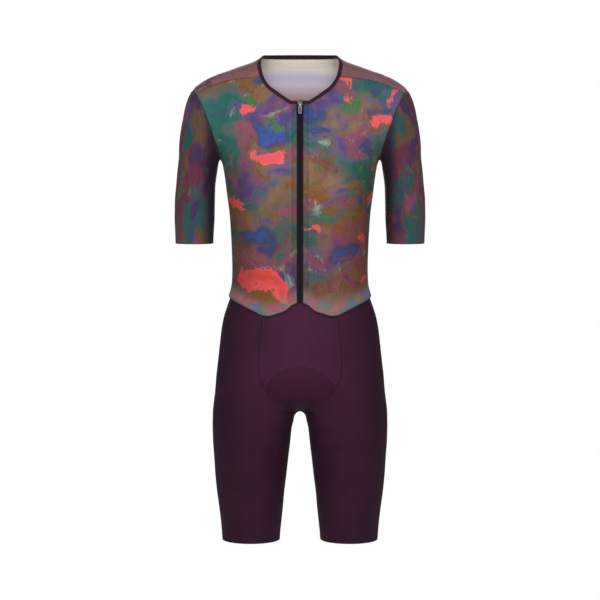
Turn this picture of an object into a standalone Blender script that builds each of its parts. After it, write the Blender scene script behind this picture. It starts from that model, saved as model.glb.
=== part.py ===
"""Cycling aerosuit: a one-piece, short-sleeved race suit, filled out as it is when worn.

Units inside the script are millimetres; meshes are made in metres, +Z up. The suit faces -Y and
+X is the wearer's left. The origin is at the base of the neck, between the shoulders that carry
the suit.

The suit is cut to a general figure, which is a smooth blend of stacked oval sections: a torso,
two arms and two legs. Each cloth panel is a net of points between its own seams, laid on that
figure, and its wall is built outwards and inwards from those points. The seams are sampled once,
so the panels on both sides of a seam meet point to point with a narrow gap between them.
"""

import math

import bmesh
import bpy
import numpy as np
from mathutils import Matrix, Vector

COLLECTION = "cycling_aerosuit"
MM = 0.001

# ---------------------------------------------------------------- driving sizes, millimetres

WALL = 1.5                 # knitted cloth with its seam allowances
SEAM_GAP = 0.3             # between two sewn panels
VIEW_DISTANCE = 5000.0     # the front view is drawn from here ...
VIEW_HEIGHT = -136.0       # ... and from this height

JERSEY_LIFT = 1.2          # outer face of the jersey above the figure
HEM_FLARE = 2.2            # the jersey's loose front hem stands this much further out
SHORTS_TUCK = -1.2         # outer face of the shorts where the jersey lies over them
PAD_RELIEF = 1.6           # how far the seat pad pushes the shorts outwards
RELIEF_STEP = 5.0          # width of the step round the pad's front end

WAIST_Z = -442.0           # top edge of the shorts, under the jersey
FRONT_WAIST_X, SEAT_WAIST_X = 66.0, 47.0
HIP_CORE_Z = -600.0        # a point inside the hips, which the middle line runs round
LEG_HEM_Z = -958.0
SLEEVE_HEM_Z = -362.0
SIDE_Y = 4.0               # the side seams run just behind the middle of the body
SIDE_HEM_Z, SIDE_TOP_Z = -466.0, -225.0
UNDERARM_BEND_Z = -218.0

ZIP_HALF = 6.0             # half the width of the closed zip
ZIP_TOP_Z, ZIP_BOTTOM_Z = -80.0, -478.0
ZIP_NECK_Z, ZIP_FOOT_Z = -83.5, -479.0    # the front panels' edges along the zip
TAPE_LIFT = 0.9
BINDING_WIDTH = 7.0
BINDING_THICK = 2.0
BINDING_ROUND = 0.7        # the band's middle stands this much above its edges

PAD_FRONT_Z, PAD_BACK_Z = -612.0, -600.0
PAD_LIFT, PAD_THICK, PAD_EDGE = -5.0, 6.5, 1.8
# share of the pad's length, half its width there
PAD_HALF_WIDTHS = ((0, 26), (0.08, 46), (0.2, 50), (0.3, 33), (0.4, 20), (0.5, 15), (0.6, 20),
                   (0.7, 33), (0.8, 50), (0.92, 48), (1, 26))

# segments along each shared seam
N_NECK_FRONT, N_SHOULDER, N_NECK_BACK = 8, 5, 8
N_SIDE, N_UNDERARM_BEND = 11, 4
N_ARMHOLE_FRONT, N_ARMHOLE_BACK = 10, 11
N_SLEEVE = 8
N_INSEAM, N_PAD_SEAM, N_FRONT_SEAM = 11, 8, 7
N_HALF_CENTRE = 5
N_TAPE = 16
UNDERARM_CROWDING = 1.35      # shorter steps where the armhole bends under the arm
N_LEG_ROUND = 22
PAD_ROWS, PAD_COLUMNS = 20, 4

# ---------------------------------------------------------------- the figure, as stacked sections

# height, half width, depth in front, depth behind, squareness
TORSO = (
    (46, 38, 22, 46, 2.0),
    (28, 58, 34, 58, 2.0),
    (13, 70, 44, 64, 2.1),
    (0, 89, 54, 69, 2.1),
    (-14, 127.5, 61, 75, 2.1),
    (-26, 156.5, 66, 79, 2.1),
    (-40, 174, 72, 84, 2.15),
    (-60, 184, 80, 90, 2.2),
    (-90, 186, 93, 98, 2.25),
    (-130, 177, 108, 104, 2.3),
    (-170, 163, 117, 107, 2.35),
    (-210, 152, 119, 105, 2.35),
    (-260, 145, 114, 97, 2.3),
    (-310, 139, 107, 87, 2.25),
    (-360, 136, 102, 80, 2.2),
    (-410, 134.4, 99, 78, 2.2),
    (-440, 135.2, 99, 80, 2.2),
    (-470, 141.2, 100, 85, 2.2),
    (-488, 147.2, 101, 89.5, 2.2),
    (-505, 151.8, 102, 94, 2.2),
    (-545, 158.8, 104, 107, 2.2),
    (-585, 162, 105, 118, 2.25),
    (-620, 162.6, 103, 122, 2.25),
    (-648, 157.5, 95, 117, 2.2),
    (-668, 140, 82, 106, 2.1),
    (-682, 112, 64, 88, 2.0),
    (-691, 74, 42, 62, 2.0),
    (-695, 40, 22, 36, 2.0),
)

# height, middle across, middle in depth, half width, half depth, squareness
ARM = (
    (-31, 160, 3, 8, 10, 2.0),
    (-35, 163, 3, 18, 20, 2.0),
    (-42, 166, 3, 29, 31, 2.0),
    (-53, 170, 3, 39, 41, 2.0),
    (-67, 173.5, 3, 47, 50, 2.0),
    (-84, 177, 3, 51, 54, 2.0),
    (-104, 180.5, 3, 54, 57, 2.05),
    (-132, 188, 3, 50, 57, 2.05),
    (-164, 196.5, 2, 45, 54.5, 2.05),
    (-196, 203, 1, 39, 52, 2.05),
    (-212, 204.5, 0, 39, 51, 2.05),
    (-244, 208, -1, 38.3, 49, 2.05),
    (-276, 210, -3, 39.5, 47.5, 2.05),
    (-308, 210.5, -5, 39.5, 46, 2.05),
    (-340, 210.8, -7, 38, 44.5, 2.05),
    (-362, 211, -8, 37, 43.5, 2.05),
    (-390, 211, -9, 36, 43, 2.05),
)
LEG = (
    (-570, 84, 4, 60, 78, 2.0),
    (-610, 86, 6, 72, 90, 2.1),
    (-650, 89.5, 9, 79, 97, 2.15),
    (-680, 91.7, 10, 81.7, 99, 2.15),
    (-700, 93.3, 10, 82.2, 98, 2.15),
    (-716, 94.2, 9, 81.7, 97, 2.15),
    (-732, 96.2, 8, 79.9, 95, 2.1),
    (-764, 97.5, 6, 77.5, 91.5, 2.1),
    (-796, 98.2, 4, 74.4, 87.5, 2.1),
    (-828, 99, 2, 71.6, 83.5, 2.05),
    (-860, 99.4, 0, 67.9, 79, 2.05),
    (-892, 98.6, -2, 64.3, 75, 2.05),
    (-924, 98.4, -3, 60.7, 70.5, 2.05),
    (-952, 98.6, -4, 58.2, 67, 2.05),
    (-985, 98.5, -5, 56.4, 64, 2.05),
)
ARM_BLEND, HIP_BLEND, CROTCH_BLEND = 15.0, 22.0, 8.0
SLOPE_REACH = 50.0    # the sections' slope only tells the distance this close to them
TORSO_REACH, ARM_REACH, LEG_REACH = 200.0, 65.0, 100.0    # no section is wider than this

# ---------------------------------------------------------------- seams, as seen from in front

# across, height: where each seam shows in a front view drawn at full size
NECK_FRONT = ((18.6, -84), (32.8, -76), (50.8, -63.6), (65, -52.8), (76, -38),
              (82, -24), (84, -12), (84, -2))
SHOULDER_SEAM = ((107, -32.8), (132, -35.4), (148, -38.6), (164, -43.6), (184, -51.8),
                 (196, -58.6), (207, -65))
SHOULDER_START_Z = -31.4
ARMHOLE_FRONT = ((200, -79), (192, -96), (184, -117), (177, -137), (171, -155), (165, -170))
JERSEY_HEM = ((135.4, -475.4), (113.4, -488.2), (92.8, -498), (73.2, -507.2),
              (66, -508.4), (57, -506.2), (42.2, -501.5), (27.4, -495), (15.8, -487.5))
FRONT_SEAM = ((15, -711), (28, -704.5), (42, -696.5), (54, -686), (60, -677), (66, -666),
              (70.6, -656), (76, -645), (80.5, -634), (83.6, -618), (84, -596), (82.6, -566),
              (79, -536), (74, -510), (70, -480))
PAD_ARCH = ((0, -609), (26, -614.5), (44, -624.5), (59, -636), (66, -646))
PAD_ARCH_END_Z = -656.0

# across, height: the same from behind
NECK_BACK_Z = 8.0
ARMHOLE_BACK = ((207, -67), (200, -82), (191, -100), (182, -122), (175, -142), (168, -160))
SEAT_SEAM = ((14, -712), (26, -707), (42, -694), (56, -672), (67, -642), (71, -604),
             (67, -560), (56, -500))
BACK_HEM_Z = (SIDE_HEM_Z, -470.0, -474.0, -476.0)    # from the side seam to the middle

SHOULDER_RIDGE = (213.0, 2.0, -57.0)             # where the armhole crosses the shoulder
UNDERARM_X = 161.0
CROTCH_POINT_Z, CROTCH_Y = -714.0, 9.0           # where four panels meet beside the crotch

# ---------------------------------------------------------------- the zip's hard parts

# heights are above the figure; lengths are measured down the zip from the tape's top end
SLIDER_WIDTH, SLIDER_ABOVE, SLIDER_BELOW = 9.0, 2.6, 9.7
UPPER_PLATE, LOWER_PLATE = (1.25, 2.45), (-1.95, -0.95)
POST_WIDTH, POST_FROM, POST_TO = 3.0, 0.35, 2.3
LUG_INSIDE, LUG_THICK, LUG_LENGTH, LUG_TOP = 2.6, 1.0, 3.4, 6.0
PIN_RADIUS, PIN_DOWN, PIN_HEIGHT = 0.6, 7.6, 4.5
BARREL_RADIUS, BARREL_BORE, BARREL_LENGTH = 1.7, 0.95, 4.4
PULL_LENGTH, PULL_WIDTH, PULL_THICK, PULL_NECK = 19.0, 6.4, 1.4, 4.4
PULL_LEAN = math.radians(7)    # the tab leans in towards the cloth


# ---------------------------------------------------------------- the figure as a distance field

def smooth_columns(rows, step=1.0):
    """Every column of a section table, as a smooth curve read at even heights."""
    table = np.array(sorted(rows), float)
    z, columns = table[:, 0], table[:, 1:]
    run, rise = np.diff(z), np.diff(columns, axis=0)
    slope = rise / run[:, None]
    tangent = np.vstack([slope[:1], np.zeros_like(slope[1:]), slope[-1:]])
    for i in range(1, len(z) - 1):
        before, after = slope[i - 1], slope[i]
        same_way = before * after > 0
        weight_a, weight_b = 2 * run[i] + run[i - 1], run[i] + 2 * run[i - 1]
        safe_before, safe_after = np.where(same_way, before, 1), np.where(same_way, after, 1)
        mean = (weight_a + weight_b) / (weight_a / safe_before + weight_b / safe_after)
        tangent[i] = np.where(same_way, mean, 0)
    heights = np.arange(z[0], z[-1] + step / 2, step)
    k = np.clip(np.searchsorted(z, heights, side="right") - 1, 0, len(z) - 2)
    t, h = ((heights - z[k]) / run[k])[:, None], run[k][:, None]
    values = ((1 + 2 * t) * (1 - t) ** 2 * columns[k] + t * (1 - t) ** 2 * h * tangent[k]
              + t * t * (3 - 2 * t) * columns[k + 1] + t * t * (t - 1) * h * tangent[k + 1])
    return heights, values.T


TORSO_CURVES, ARM_CURVES, LEG_CURVES = (smooth_columns(t) for t in (TORSO, ARM, LEG))


def section_gap(x, y, z, curves, is_torso):
    """Distance past the section's outline at this height, measured along its own level."""
    heights, columns = curves
    read = [np.interp(z, heights, column) for column in columns]
    if is_torso:
        half_width, front, behind, square = read
        half_depth = np.where(y < 0, front, behind)
    else:
        middle_x, middle_y, half_width, half_depth, square = read
        x, y = x - middle_x, y - middle_y
    radius = np.hypot(x, y) + 1e-9
    ratio = (np.abs(x / radius) / half_width) ** square + (np.abs(y / radius) / half_depth) ** square
    return radius - ratio ** (-1 / square)


def limb_distance(x, y, z, curves, is_torso=False):
    """Signed distance to one stack of sections, cut off flat beyond its two ends."""
    heights = curves[0]
    gap = section_gap(x, y, z, curves, is_torso)
    lean = (section_gap(x, y, z + 1, curves, is_torso)
            - section_gap(x, y, z - 1, curves, is_torso)) / 2
    gap = gap / np.sqrt(1 + (lean / (1 + (gap / SLOPE_REACH) ** 4)) ** 2)
    beyond = np.maximum(z - heights[-1], heights[0] - z)
    outside = np.hypot(np.maximum(gap, 0), np.maximum(beyond, 0))
    return np.where(beyond > 0, outside, np.maximum(gap, beyond))


def blend(a, b, width):
    """The nearer of two distances, rounded off where they are about equal."""
    share = np.maximum(width - np.abs(a - b), 0) / width
    return np.minimum(a, b) - share * share * width / 4


def figure(p):
    """Signed distance from points to the figure: negative inside it."""
    x, y, z = p[..., 0], p[..., 1], p[..., 2]
    torso = limb_distance(x, y, z, TORSO_CURVES, is_torso=True)
    arms = limb_distance(np.abs(x), y, z, ARM_CURVES)
    legs = blend(limb_distance(x, y, z, LEG_CURVES), limb_distance(-x, y, z, LEG_CURVES),
                 CROTCH_BLEND)
    return blend(blend(torso, arms, ARM_BLEND), legs, HIP_BLEND)


def slope_of(p, reach=0.5):
    """The field's gradient at each point."""
    columns = []
    for axis in range(3):
        d = np.zeros(3)
        d[axis] = reach
        columns.append((figure(p + d) - figure(p - d)) / (2 * reach))
    return np.stack(columns, -1)


def outward(p):
    g = slope_of(p)
    return g / np.linalg.norm(g, axis=-1, keepdims=True)


def settle(p, steps=8):
    """Points moved onto the figure's surface."""
    p = np.array(p, float)
    for _ in range(steps):
        g = slope_of(p)
        move = figure(p)[..., None] * g / np.maximum((g * g).sum(-1, keepdims=True), 0.05)
        length = np.linalg.norm(move, axis=-1, keepdims=True)
        p -= move * np.minimum(1, 15 / np.maximum(length, 1e-9))
    return p


# ---------------------------------------------------------------- seams on the figure

def first_hit(start, end, steps=240):
    """Where straight lines from start to end first enter the figure."""
    start, end = np.atleast_2d(start).astype(float), np.atleast_2d(end).astype(float)
    share = np.linspace(0, 1, steps)[:, None, None]
    line = start + (end - start) * share
    inside = figure(line) < 0
    hit = np.where(inside.any(axis=0), inside.argmax(axis=0), np.abs(figure(line)).argmin(axis=0))
    before, after = np.maximum(hit - 1, 0), hit
    a, b = line[before, np.arange(len(start))], line[after, np.arange(len(start))]
    for _ in range(20):
        middle = (a + b) / 2
        is_in = (figure(middle) < 0)[:, None]
        a, b = np.where(is_in, a, middle), np.where(is_in, middle, b)
    return (a + b) / 2


def seen(places):
    """Places in the front view, put on the figure along the lines of sight."""
    x, z = np.array(places, float).T
    def at_depth(y):
        grow = (VIEW_DISTANCE + y) / VIEW_DISTANCE
        return np.stack([x * grow, np.full_like(x, y), VIEW_HEIGHT + (z - VIEW_HEIGHT) * grow], -1)
    return first_hit(at_depth(-200.0), at_depth(150.0))


def straight(places, side):
    """Places in a square-on view from in front (side -1) or from behind (side 1)."""
    x, z = np.array(places, float).T
    return first_hit(np.stack([x, np.full_like(x, side * 200.0), z], -1),
                     np.stack([x, np.full_like(x, side * -60.0), z], -1))


def curve_through(points, per_span=16):
    """A smooth dense curve through a few points, laid on the figure."""
    p = np.array(points, float)
    ends = [2 * p[0] - p[1], 2 * p[-1] - p[-2]]
    q = np.vstack([ends[0], p, ends[1]])
    knots = np.concatenate([[0], np.cumsum(np.sqrt(np.linalg.norm(np.diff(q, axis=0), axis=1)))])
    pieces = []
    for i in range(1, len(q) - 2):
        t0, t1, t2, t3 = knots[i - 1:i + 3]
        t = np.linspace(t1, t2, per_span, endpoint=False)[:, None]
        a1 = (t1 - t) / (t1 - t0) * q[i - 1] + (t - t0) / (t1 - t0) * q[i]
        a2 = (t2 - t) / (t2 - t1) * q[i] + (t - t1) / (t2 - t1) * q[i + 1]
        a3 = (t3 - t) / (t3 - t2) * q[i + 1] + (t - t2) / (t3 - t2) * q[i + 2]
        b1 = (t2 - t) / (t2 - t0) * a1 + (t - t0) / (t2 - t0) * a2
        b2 = (t3 - t) / (t3 - t1) * a2 + (t - t1) / (t3 - t1) * a3
        pieces.append((t2 - t) / (t2 - t1) * b1 + (t - t1) / (t2 - t1) * b2)
    return settle(np.vstack(pieces + [p[-1:]]))


def along(curve, segments, crowding=1.0):
    """A dense curve sampled at even steps, or at steps that are shorter near its start."""
    length = np.concatenate([[0], np.cumsum(np.linalg.norm(np.diff(curve, axis=0), axis=1))])
    places = np.linspace(0, 1, segments + 1) ** crowding * length[-1]
    return np.stack([np.interp(places, length, curve[:, i]) for i in range(3)], -1)


def reach_out(centre, directions, furthest):
    """Where rays from a point inside the figure come out of it."""
    near, far = np.full(len(directions), 0.5), np.full(len(directions), furthest)
    for _ in range(26):
        half = (near + far) / 2
        is_in = figure(centre + directions * half[:, None]) < 0
        near, far = np.where(is_in, half, near), np.where(is_in, far, half)
    return centre + directions * ((near + far) / 2)[:, None]


def ring(z, middle, start, end, segments, furthest=TORSO_REACH):
    """The figure's level line at one height, from one direction round to another (degrees)."""
    angles = np.radians(np.linspace(start, end, 181))
    directions = np.stack([np.cos(angles), np.sin(angles), np.zeros_like(angles)], -1)
    return along(reach_out(np.array([*middle, z]), directions, furthest), segments)


def middle_line(start, end, segments):
    """The figure's middle line between two of its points, the short way round the hips."""
    core = np.array([0, CROTCH_Y, HIP_CORE_Z])
    first, last = (math.atan2(p[1] - core[1], core[2] - p[2]) for p in (start, end))
    angles = np.linspace(first, last, 121)
    directions = np.stack([np.zeros_like(angles), np.sin(angles), -np.cos(angles)], -1)
    line = along(reach_out(core, directions, TORSO_REACH), segments)
    line[0], line[-1] = start, end
    return line


def limb_inside(table, z, toward):
    """A point on a limb's surface, on its side towards (or away from) the body's middle."""
    heights, columns = table
    x, y, half_width = (np.interp(z, heights, columns[i]) for i in range(3))
    return (x + toward * half_width, y, z)


def split_at(curve, axis, value):
    """The two stretches of a dense curve before and after it reaches a coordinate."""
    k = int(np.abs(curve[:, axis] - value).argmin())
    return curve[:k + 1], curve[k:]


def join(*stretches):
    """Sampled stretches in a row, each starting where the last one ended."""
    return np.vstack([stretches[0]] + [s[1:] for s in stretches[1:]])


def mirror(points):
    return points * np.array([-1.0, 1.0, 1.0])


# ---------------------------------------------------------------- nets between seams

def net(bottom, top, left, right, relax=40):
    """A net of points on the figure between four seams, evened out by relaxing.

    bottom and top run along u, left and right run along v.
    """
    rows, columns = len(left), len(bottom)
    u, v = np.linspace(0, 1, columns)[None, :, None], np.linspace(0, 1, rows)[:, None, None]
    grid = ((1 - v) * bottom[None] + v * top[None] + (1 - u) * left[:, None] + u * right[:, None]
            - (1 - u) * (1 - v) * bottom[0] - u * (1 - v) * bottom[-1]
            - (1 - u) * v * top[0] - u * v * top[-1])
    inner = (slice(1, -1), slice(1, -1))
    grid[inner] = settle(grid[inner], 14)
    for _ in range(relax):
        mean = (grid[:-2, 1:-1] + grid[2:, 1:-1] + grid[1:-1, :-2] + grid[1:-1, 2:]) / 4
        grid[inner] = settle(mean, 1)
    grid[inner] = settle(grid[inner], 4)
    return grid


def smooth_step(value, start, end):
    """0 at start, 1 at end, eased at both."""
    t = np.clip((value - start) / (end - start), 0, 1)
    return t * t * (3 - 2 * t)


def jersey_lift(p):
    """The jersey stands off the figure at its loose front hem."""
    near_hem = smooth_step(p[..., 2], -430, -500)
    in_front = 1 - smooth_step(p[..., 1], 10, 70)
    return JERSEY_LIFT + HEM_FLARE * near_hem * in_front


def shorts_lift(p):
    """The shorts' top edge is tucked in under the jersey."""
    return SHORTS_TUCK * (1 - smooth_step(p[..., 2], -485, -515))


def tape_lift(p):
    """The zip follows the jersey's edges."""
    return TAPE_LIFT - JERSEY_LIFT + jersey_lift(p)


# ---------------------------------------------------------------- walls

def rim_edges(faces):
    """Edges that only one face has, in that face's order."""
    edges = [edge for face in faces for edge in zip(face, face[1:] + face[:1])]
    known = set(edges)
    return [(a, b) for a, b in edges if (b, a) not in known]


def drawn_in(points, normals, rim, distance):
    """Points on the rim moved into the panel, square to both rim edges they lie on."""
    inward = {}
    for a, b in rim:
        along_rim = points[b] - points[a]
        for v in (a, b):
            side = np.cross(normals[v], along_rim)
            inward.setdefault(v, []).append(side / np.linalg.norm(side))
    moved = points.copy()
    for v, sides in inward.items():
        first, second = sides[0], sides[-1]
        moved[v] += (first + second) / max(1 + first @ second, 0.35) * distance
    return moved


def split_quads(points, normals, quads):
    """Triangles facing outwards, each quad cut along the diagonal that hugs the figure best."""
    middle = quads[len(quads) // 2]
    a, b, c = points[middle[:3]]
    if np.cross(b - a, c - b) @ normals[middle[0]] < 0:
        quads = quads[:, ::-1]
    miss = [np.abs(figure((points[quads[:, i]] + points[quads[:, i + 2]]) / 2)) for i in (0, 1)]
    first = miss[0] <= miss[1]
    q = np.where(first[:, None], quads, np.roll(quads, -1, axis=1))
    return np.concatenate([q[:, [0, 1, 2]], q[:, [0, 2, 3]]]).tolist()


def rim_faces(a, b, points, count):
    """The wall's edge along one rim edge, split the same way as its neighbour across the seam."""
    if tuple(points[a].round(1)[::-1]) < tuple(points[b].round(1)[::-1]):
        return [b, a, b + count], [a, a + count, b + count]
    return [b, a, a + count], [b, a + count, b + count]


def wall(grid, lift, closed_rows=0, halves=False, thick=WALL, relief=None):
    """The closed wall of one panel: (points in mm, faces).

    The first closed_rows rows of the net are rings, whose last point is their first. With
    halves, the net is one half of the panel and starts on the suit's middle line. lift gives
    the outer face's height above the figure, and relief is added to it.
    """
    rows, columns = grid.shape[:2]
    if halves:
        grid = np.concatenate([mirror(grid[:, :0:-1]), grid], axis=1)
        relief = None if relief is None else np.concatenate([relief[:, :0:-1], relief], axis=1)
        columns = grid.shape[1]
    index = np.arange(rows * columns).reshape(rows, columns)
    index[:closed_rows, -1] = index[:closed_rows, 0]
    points = grid.reshape(-1, 3)
    normals = outward(points)
    corners = np.stack([index[:-1, :-1], index[:-1, 1:], index[1:, 1:], index[1:, :-1]], -1)
    faces = split_quads(points, normals, corners.reshape(-1, 4))
    rim = rim_edges(faces)
    height = lift(points) + np.zeros(len(points))
    if relief is not None:
        height += relief.reshape(-1)
    points = drawn_in(points, normals, rim, SEAM_GAP / 2)
    outer = points + normals * height[:, None]
    inner = outer - normals * np.reshape(thick, (-1, 1))
    count = len(points)
    faces += [[v + count for v in face[::-1]] for face in faces]
    faces += [triangle for a, b in rim for triangle in rim_faces(a, b, points, count)]
    used = sorted({v for face in faces for v in face})
    renumber = {v: i for i, v in enumerate(used)}
    both = np.vstack([outer, inner])[used]
    return both, [[renumber[v] for v in face] for face in faces]


# ---------------------------------------------------------------- all the seams

def neck_and_shoulder(s):
    """The neck seam from the zip round to the middle of the back, and the shoulder seam."""
    zip_end = straight([(ZIP_HALF, ZIP_NECK_Z)], -1)
    back_neck = ring(NECK_BACK_Z, (0, 0), 0, 90, 6)
    neck = curve_through(np.vstack([zip_end, seen(NECK_FRONT), back_neck]))
    in_front, behind = split_at(neck, 2, SHOULDER_START_Z)
    s["neck_front"] = along(in_front, N_NECK_FRONT)
    s["neck_back"] = along(behind, N_NECK_BACK)
    shoulder = curve_through(np.vstack([in_front[-1:], seen(SHOULDER_SEAM)]))
    s["shoulder"] = along(shoulder, N_SHOULDER)


def armhole_and_side(s):
    """The armhole's two stretches, the side seam, the sleeve's underarm seam and its hem."""
    corner = s["shoulder"][-1:]
    underarm = first_hit([UNDERARM_X, SIDE_Y, -270], [UNDERARM_X, SIDE_Y, -120])
    ridge = settle([SHOULDER_RIDGE])
    in_front = curve_through(np.vstack([underarm, seen(ARMHOLE_FRONT)[::-1], corner]))
    behind = curve_through(np.vstack(
        [underarm, straight(ARMHOLE_BACK, 1)[::-1], ridge, corner]))
    s["armhole_front"] = along(in_front, N_ARMHOLE_FRONT, UNDERARM_CROWDING)
    s["armhole_back"] = along(behind, N_ARMHOLE_BACK, UNDERARM_CROWDING)

    heights = np.linspace(SIDE_HEM_Z, SIDE_TOP_Z, 8)
    widths = np.interp(heights, TORSO_CURVES[0], TORSO_CURVES[1][0])
    guides = settle(np.stack([widths, np.full_like(widths, SIDE_Y), heights], -1))
    s["side"] = up_to_underarm(guides, underarm, N_SIDE)
    guides = settle([limb_inside(ARM_CURVES, z, -1)
                     for z in np.linspace(SLEEVE_HEM_Z, SIDE_TOP_Z, 6)])
    s["underarm"] = up_to_underarm(guides, underarm, N_SLEEVE)
    middle = [np.interp(SLEEVE_HEM_Z, ARM_CURVES[0], ARM_CURVES[1][i]) for i in (0, 1)]
    s["sleeve_hem"] = ring(SLEEVE_HEM_Z, middle, 180, 540, N_ARMHOLE_FRONT + N_ARMHOLE_BACK,
                           ARM_REACH)
    s["underarm"][0] = s["sleeve_hem"][0]


def up_to_underarm(guides, underarm, segments):
    """A seam that runs up to the underarm point, with short steps where it bends into it."""
    low, bend = split_at(curve_through(np.vstack([guides, underarm])), 2, UNDERARM_BEND_Z)
    return join(along(low, segments), along(bend, N_UNDERARM_BEND))


def jersey_hem_and_middles(s):
    """The jersey's hem, the front's edge along the zip and the middle of the back."""
    side_end = s["side"][:1]
    zip_foot = straight([(ZIP_HALF, ZIP_FOOT_Z)], -1)
    hem = curve_through(np.vstack([zip_foot, seen(JERSEY_HEM)[::-1], side_end]))
    s["hem_front"] = along(hem, N_NECK_FRONT + N_SHOULDER)
    share = np.linspace(0, 1, len(BACK_HEM_Z))
    hem = straight([(side_end[0, 0] * math.cos(t * math.pi / 2), z)
                    for t, z in zip(share[1:], BACK_HEM_Z[1:])], 1)
    hem = curve_through(np.vstack([side_end, hem]))
    hem[-1, 0] = 0
    s["hem_back"] = along(hem, N_NECK_BACK + N_SHOULDER)

    heights = np.linspace(ZIP_FOOT_Z, ZIP_NECK_Z, 60)
    s["zip"] = along(straight([(ZIP_HALF, z) for z in heights], -1),
                     N_SIDE + N_UNDERARM_BEND + N_ARMHOLE_FRONT)
    heights = np.linspace(BACK_HEM_Z[-1], NECK_BACK_Z, 60)
    s["centre_back"] = along(straight([(0, z) for z in heights], 1),
                             N_SIDE + N_UNDERARM_BEND + N_ARMHOLE_BACK)
    s["centre_back"][0], s["centre_back"][-1] = s["hem_back"][-1], s["neck_back"][-1]


def shorts_seams(s):
    """The seams round both centre panels, the inseam, the leg hem and the top edge.

    The front seam is sampled in two stretches, with the pad's step between them.
    """
    crotch = first_hit([0, CROTCH_Y, CROTCH_POINT_Z], [60, CROTCH_Y, CROTCH_POINT_Z])
    waist_front = straight([(FRONT_WAIST_X, WAIST_Z)], -1)
    waist_back = straight([(SEAT_WAIST_X, WAIST_Z)], 1)
    front = curve_through(np.vstack([crotch, seen(FRONT_SEAM), waist_front]))
    at_pad, above = split_at(front, 2, PAD_ARCH_END_Z)
    above = along(above, 400)
    step = int(np.abs(np.linalg.norm(above - above[0], axis=1) - RELIEF_STEP).argmin())
    s["pad_seam"] = along(at_pad, N_PAD_SEAM)
    s["front_seam"] = along(above[step:], N_FRONT_SEAM - 1)
    seat = curve_through(np.vstack([crotch, straight(SEAT_SEAM, 1), waist_back]))
    low, high = split_at(seat, 2, PAD_ARCH_END_Z)
    s["seat_seam"] = join(along(low, N_PAD_SEAM), along(high, N_FRONT_SEAM))

    across = [first_hit([x, CROTCH_Y, -745], [x, CROTCH_Y, -640]) for x in (0, 4, 8)]
    s["crotch_seam"] = along(curve_through(np.vstack(across + [crotch])), N_HALF_CENTRE)
    guides = settle([limb_inside(LEG_CURVES, z, -1) for z in np.linspace(LEG_HEM_Z, -740, 6)])
    s["inseam"] = along(curve_through(np.vstack([guides, crotch])), N_INSEAM)
    middle = [np.interp(LEG_HEM_Z, LEG_CURVES[0], LEG_CURVES[1][i]) for i in (0, 1)]
    s["leg_hem"] = ring(LEG_HEM_Z, middle, 180, 540, N_LEG_ROUND, LEG_REACH)
    s["inseam"][0] = s["leg_hem"][0]
    s["waist_front"] = waist_arc([0, -1, 0], s["front_seam"][-1], N_HALF_CENTRE)
    s["waist_side"] = waist_arc(s["front_seam"][-1], s["seat_seam"][-1], N_LEG_ROUND)
    s["waist_back"] = waist_arc([0, 1, 0], s["seat_seam"][-1], N_HALF_CENTRE)


def waist_arc(start, end, segments):
    """The shorts' top edge between the directions of two points."""
    angles = [math.degrees(math.atan2(p[1], p[0])) for p in (start, end)]
    return ring(WAIST_Z, (0, 0), angles[0], angles[1], segments)


def all_seams():
    """Every seam of the wearer's left half, sampled once and shared by the panels it joins."""
    s = {}
    neck_and_shoulder(s)
    armhole_and_side(s)
    jersey_hem_and_middles(s)
    shorts_seams(s)
    return s


# ---------------------------------------------------------------- the cloth pieces

def front_net(s):
    return net(s["hem_front"], join(s["neck_front"], s["shoulder"]), s["zip"],
               join(s["side"], s["armhole_front"]))


def back_net(s):
    return net(s["hem_back"][::-1], join(s["neck_back"][::-1], s["shoulder"]), s["centre_back"],
               join(s["side"], s["armhole_back"]))


def sleeve_net(s):
    return net(s["sleeve_hem"], join(s["armhole_front"], s["armhole_back"][::-1]),
               s["underarm"], s["underarm"])


def leg_net(s):
    in_front = np.vstack([join(s["inseam"], s["pad_seam"]), s["front_seam"]])
    return net(s["leg_hem"], s["waist_side"], in_front, join(s["inseam"], s["seat_seam"]))


def front_centre_net(s):
    """The centre front panel: a net over the pad and one above it, with the step between."""
    arch_end, above_end = s["pad_seam"][-1:], s["front_seam"][:1]
    arch = curve_through(np.vstack([seen(PAD_ARCH), arch_end]))
    raised = [(x, z + RELIEF_STEP) for x, z in PAD_ARCH]
    above = curve_through(np.vstack([seen(raised), above_end]))
    low_middle = middle_line(s["crotch_seam"][0], arch[0], N_PAD_SEAM)
    high_middle = middle_line(above[0], s["waist_front"][0], N_FRONT_SEAM - 1)
    low = net(s["crotch_seam"], along(arch, N_HALF_CENTRE), low_middle, s["pad_seam"])
    high = net(along(above, N_HALF_CENTRE), s["waist_front"], high_middle, s["front_seam"])
    return np.concatenate([low, high])


def seat_net(s):
    low_back = straight([(0, PAD_ARCH_END_Z)], 1)[0]
    middle = join(middle_line(s["crotch_seam"][0], low_back, N_PAD_SEAM),
                  middle_line(low_back, s["waist_back"][0], N_FRONT_SEAM))
    return net(s["crotch_seam"], s["waist_back"], middle, s["seat_seam"])


def binding_net(s):
    """A band up from the neck seam, whose columns run from the middle of the back to the zip."""
    edge = np.vstack([s["neck_front"][:-1], s["neck_back"]])[::-1]
    rows = [edge]
    for _ in range(2):
        here = rows[-1]
        across = np.cross(np.gradient(here, axis=0), outward(here))
        across /= np.linalg.norm(across, axis=1, keepdims=True)
        across[[0, -1], 0] = 0
        moved = settle(here + across * BINDING_WIDTH / 2, 3)
        moved[0, 0], moved[-1, 0] = 0, ZIP_HALF
        rows.append(moved)
    return np.stack(rows)


def tape_net(s):
    heights = np.linspace(ZIP_BOTTOM_Z, ZIP_TOP_Z, N_TAPE + 1)
    return np.stack([straight([(x, z) for z in heights], -1) for x in (0, ZIP_HALF)], axis=1)


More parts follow.
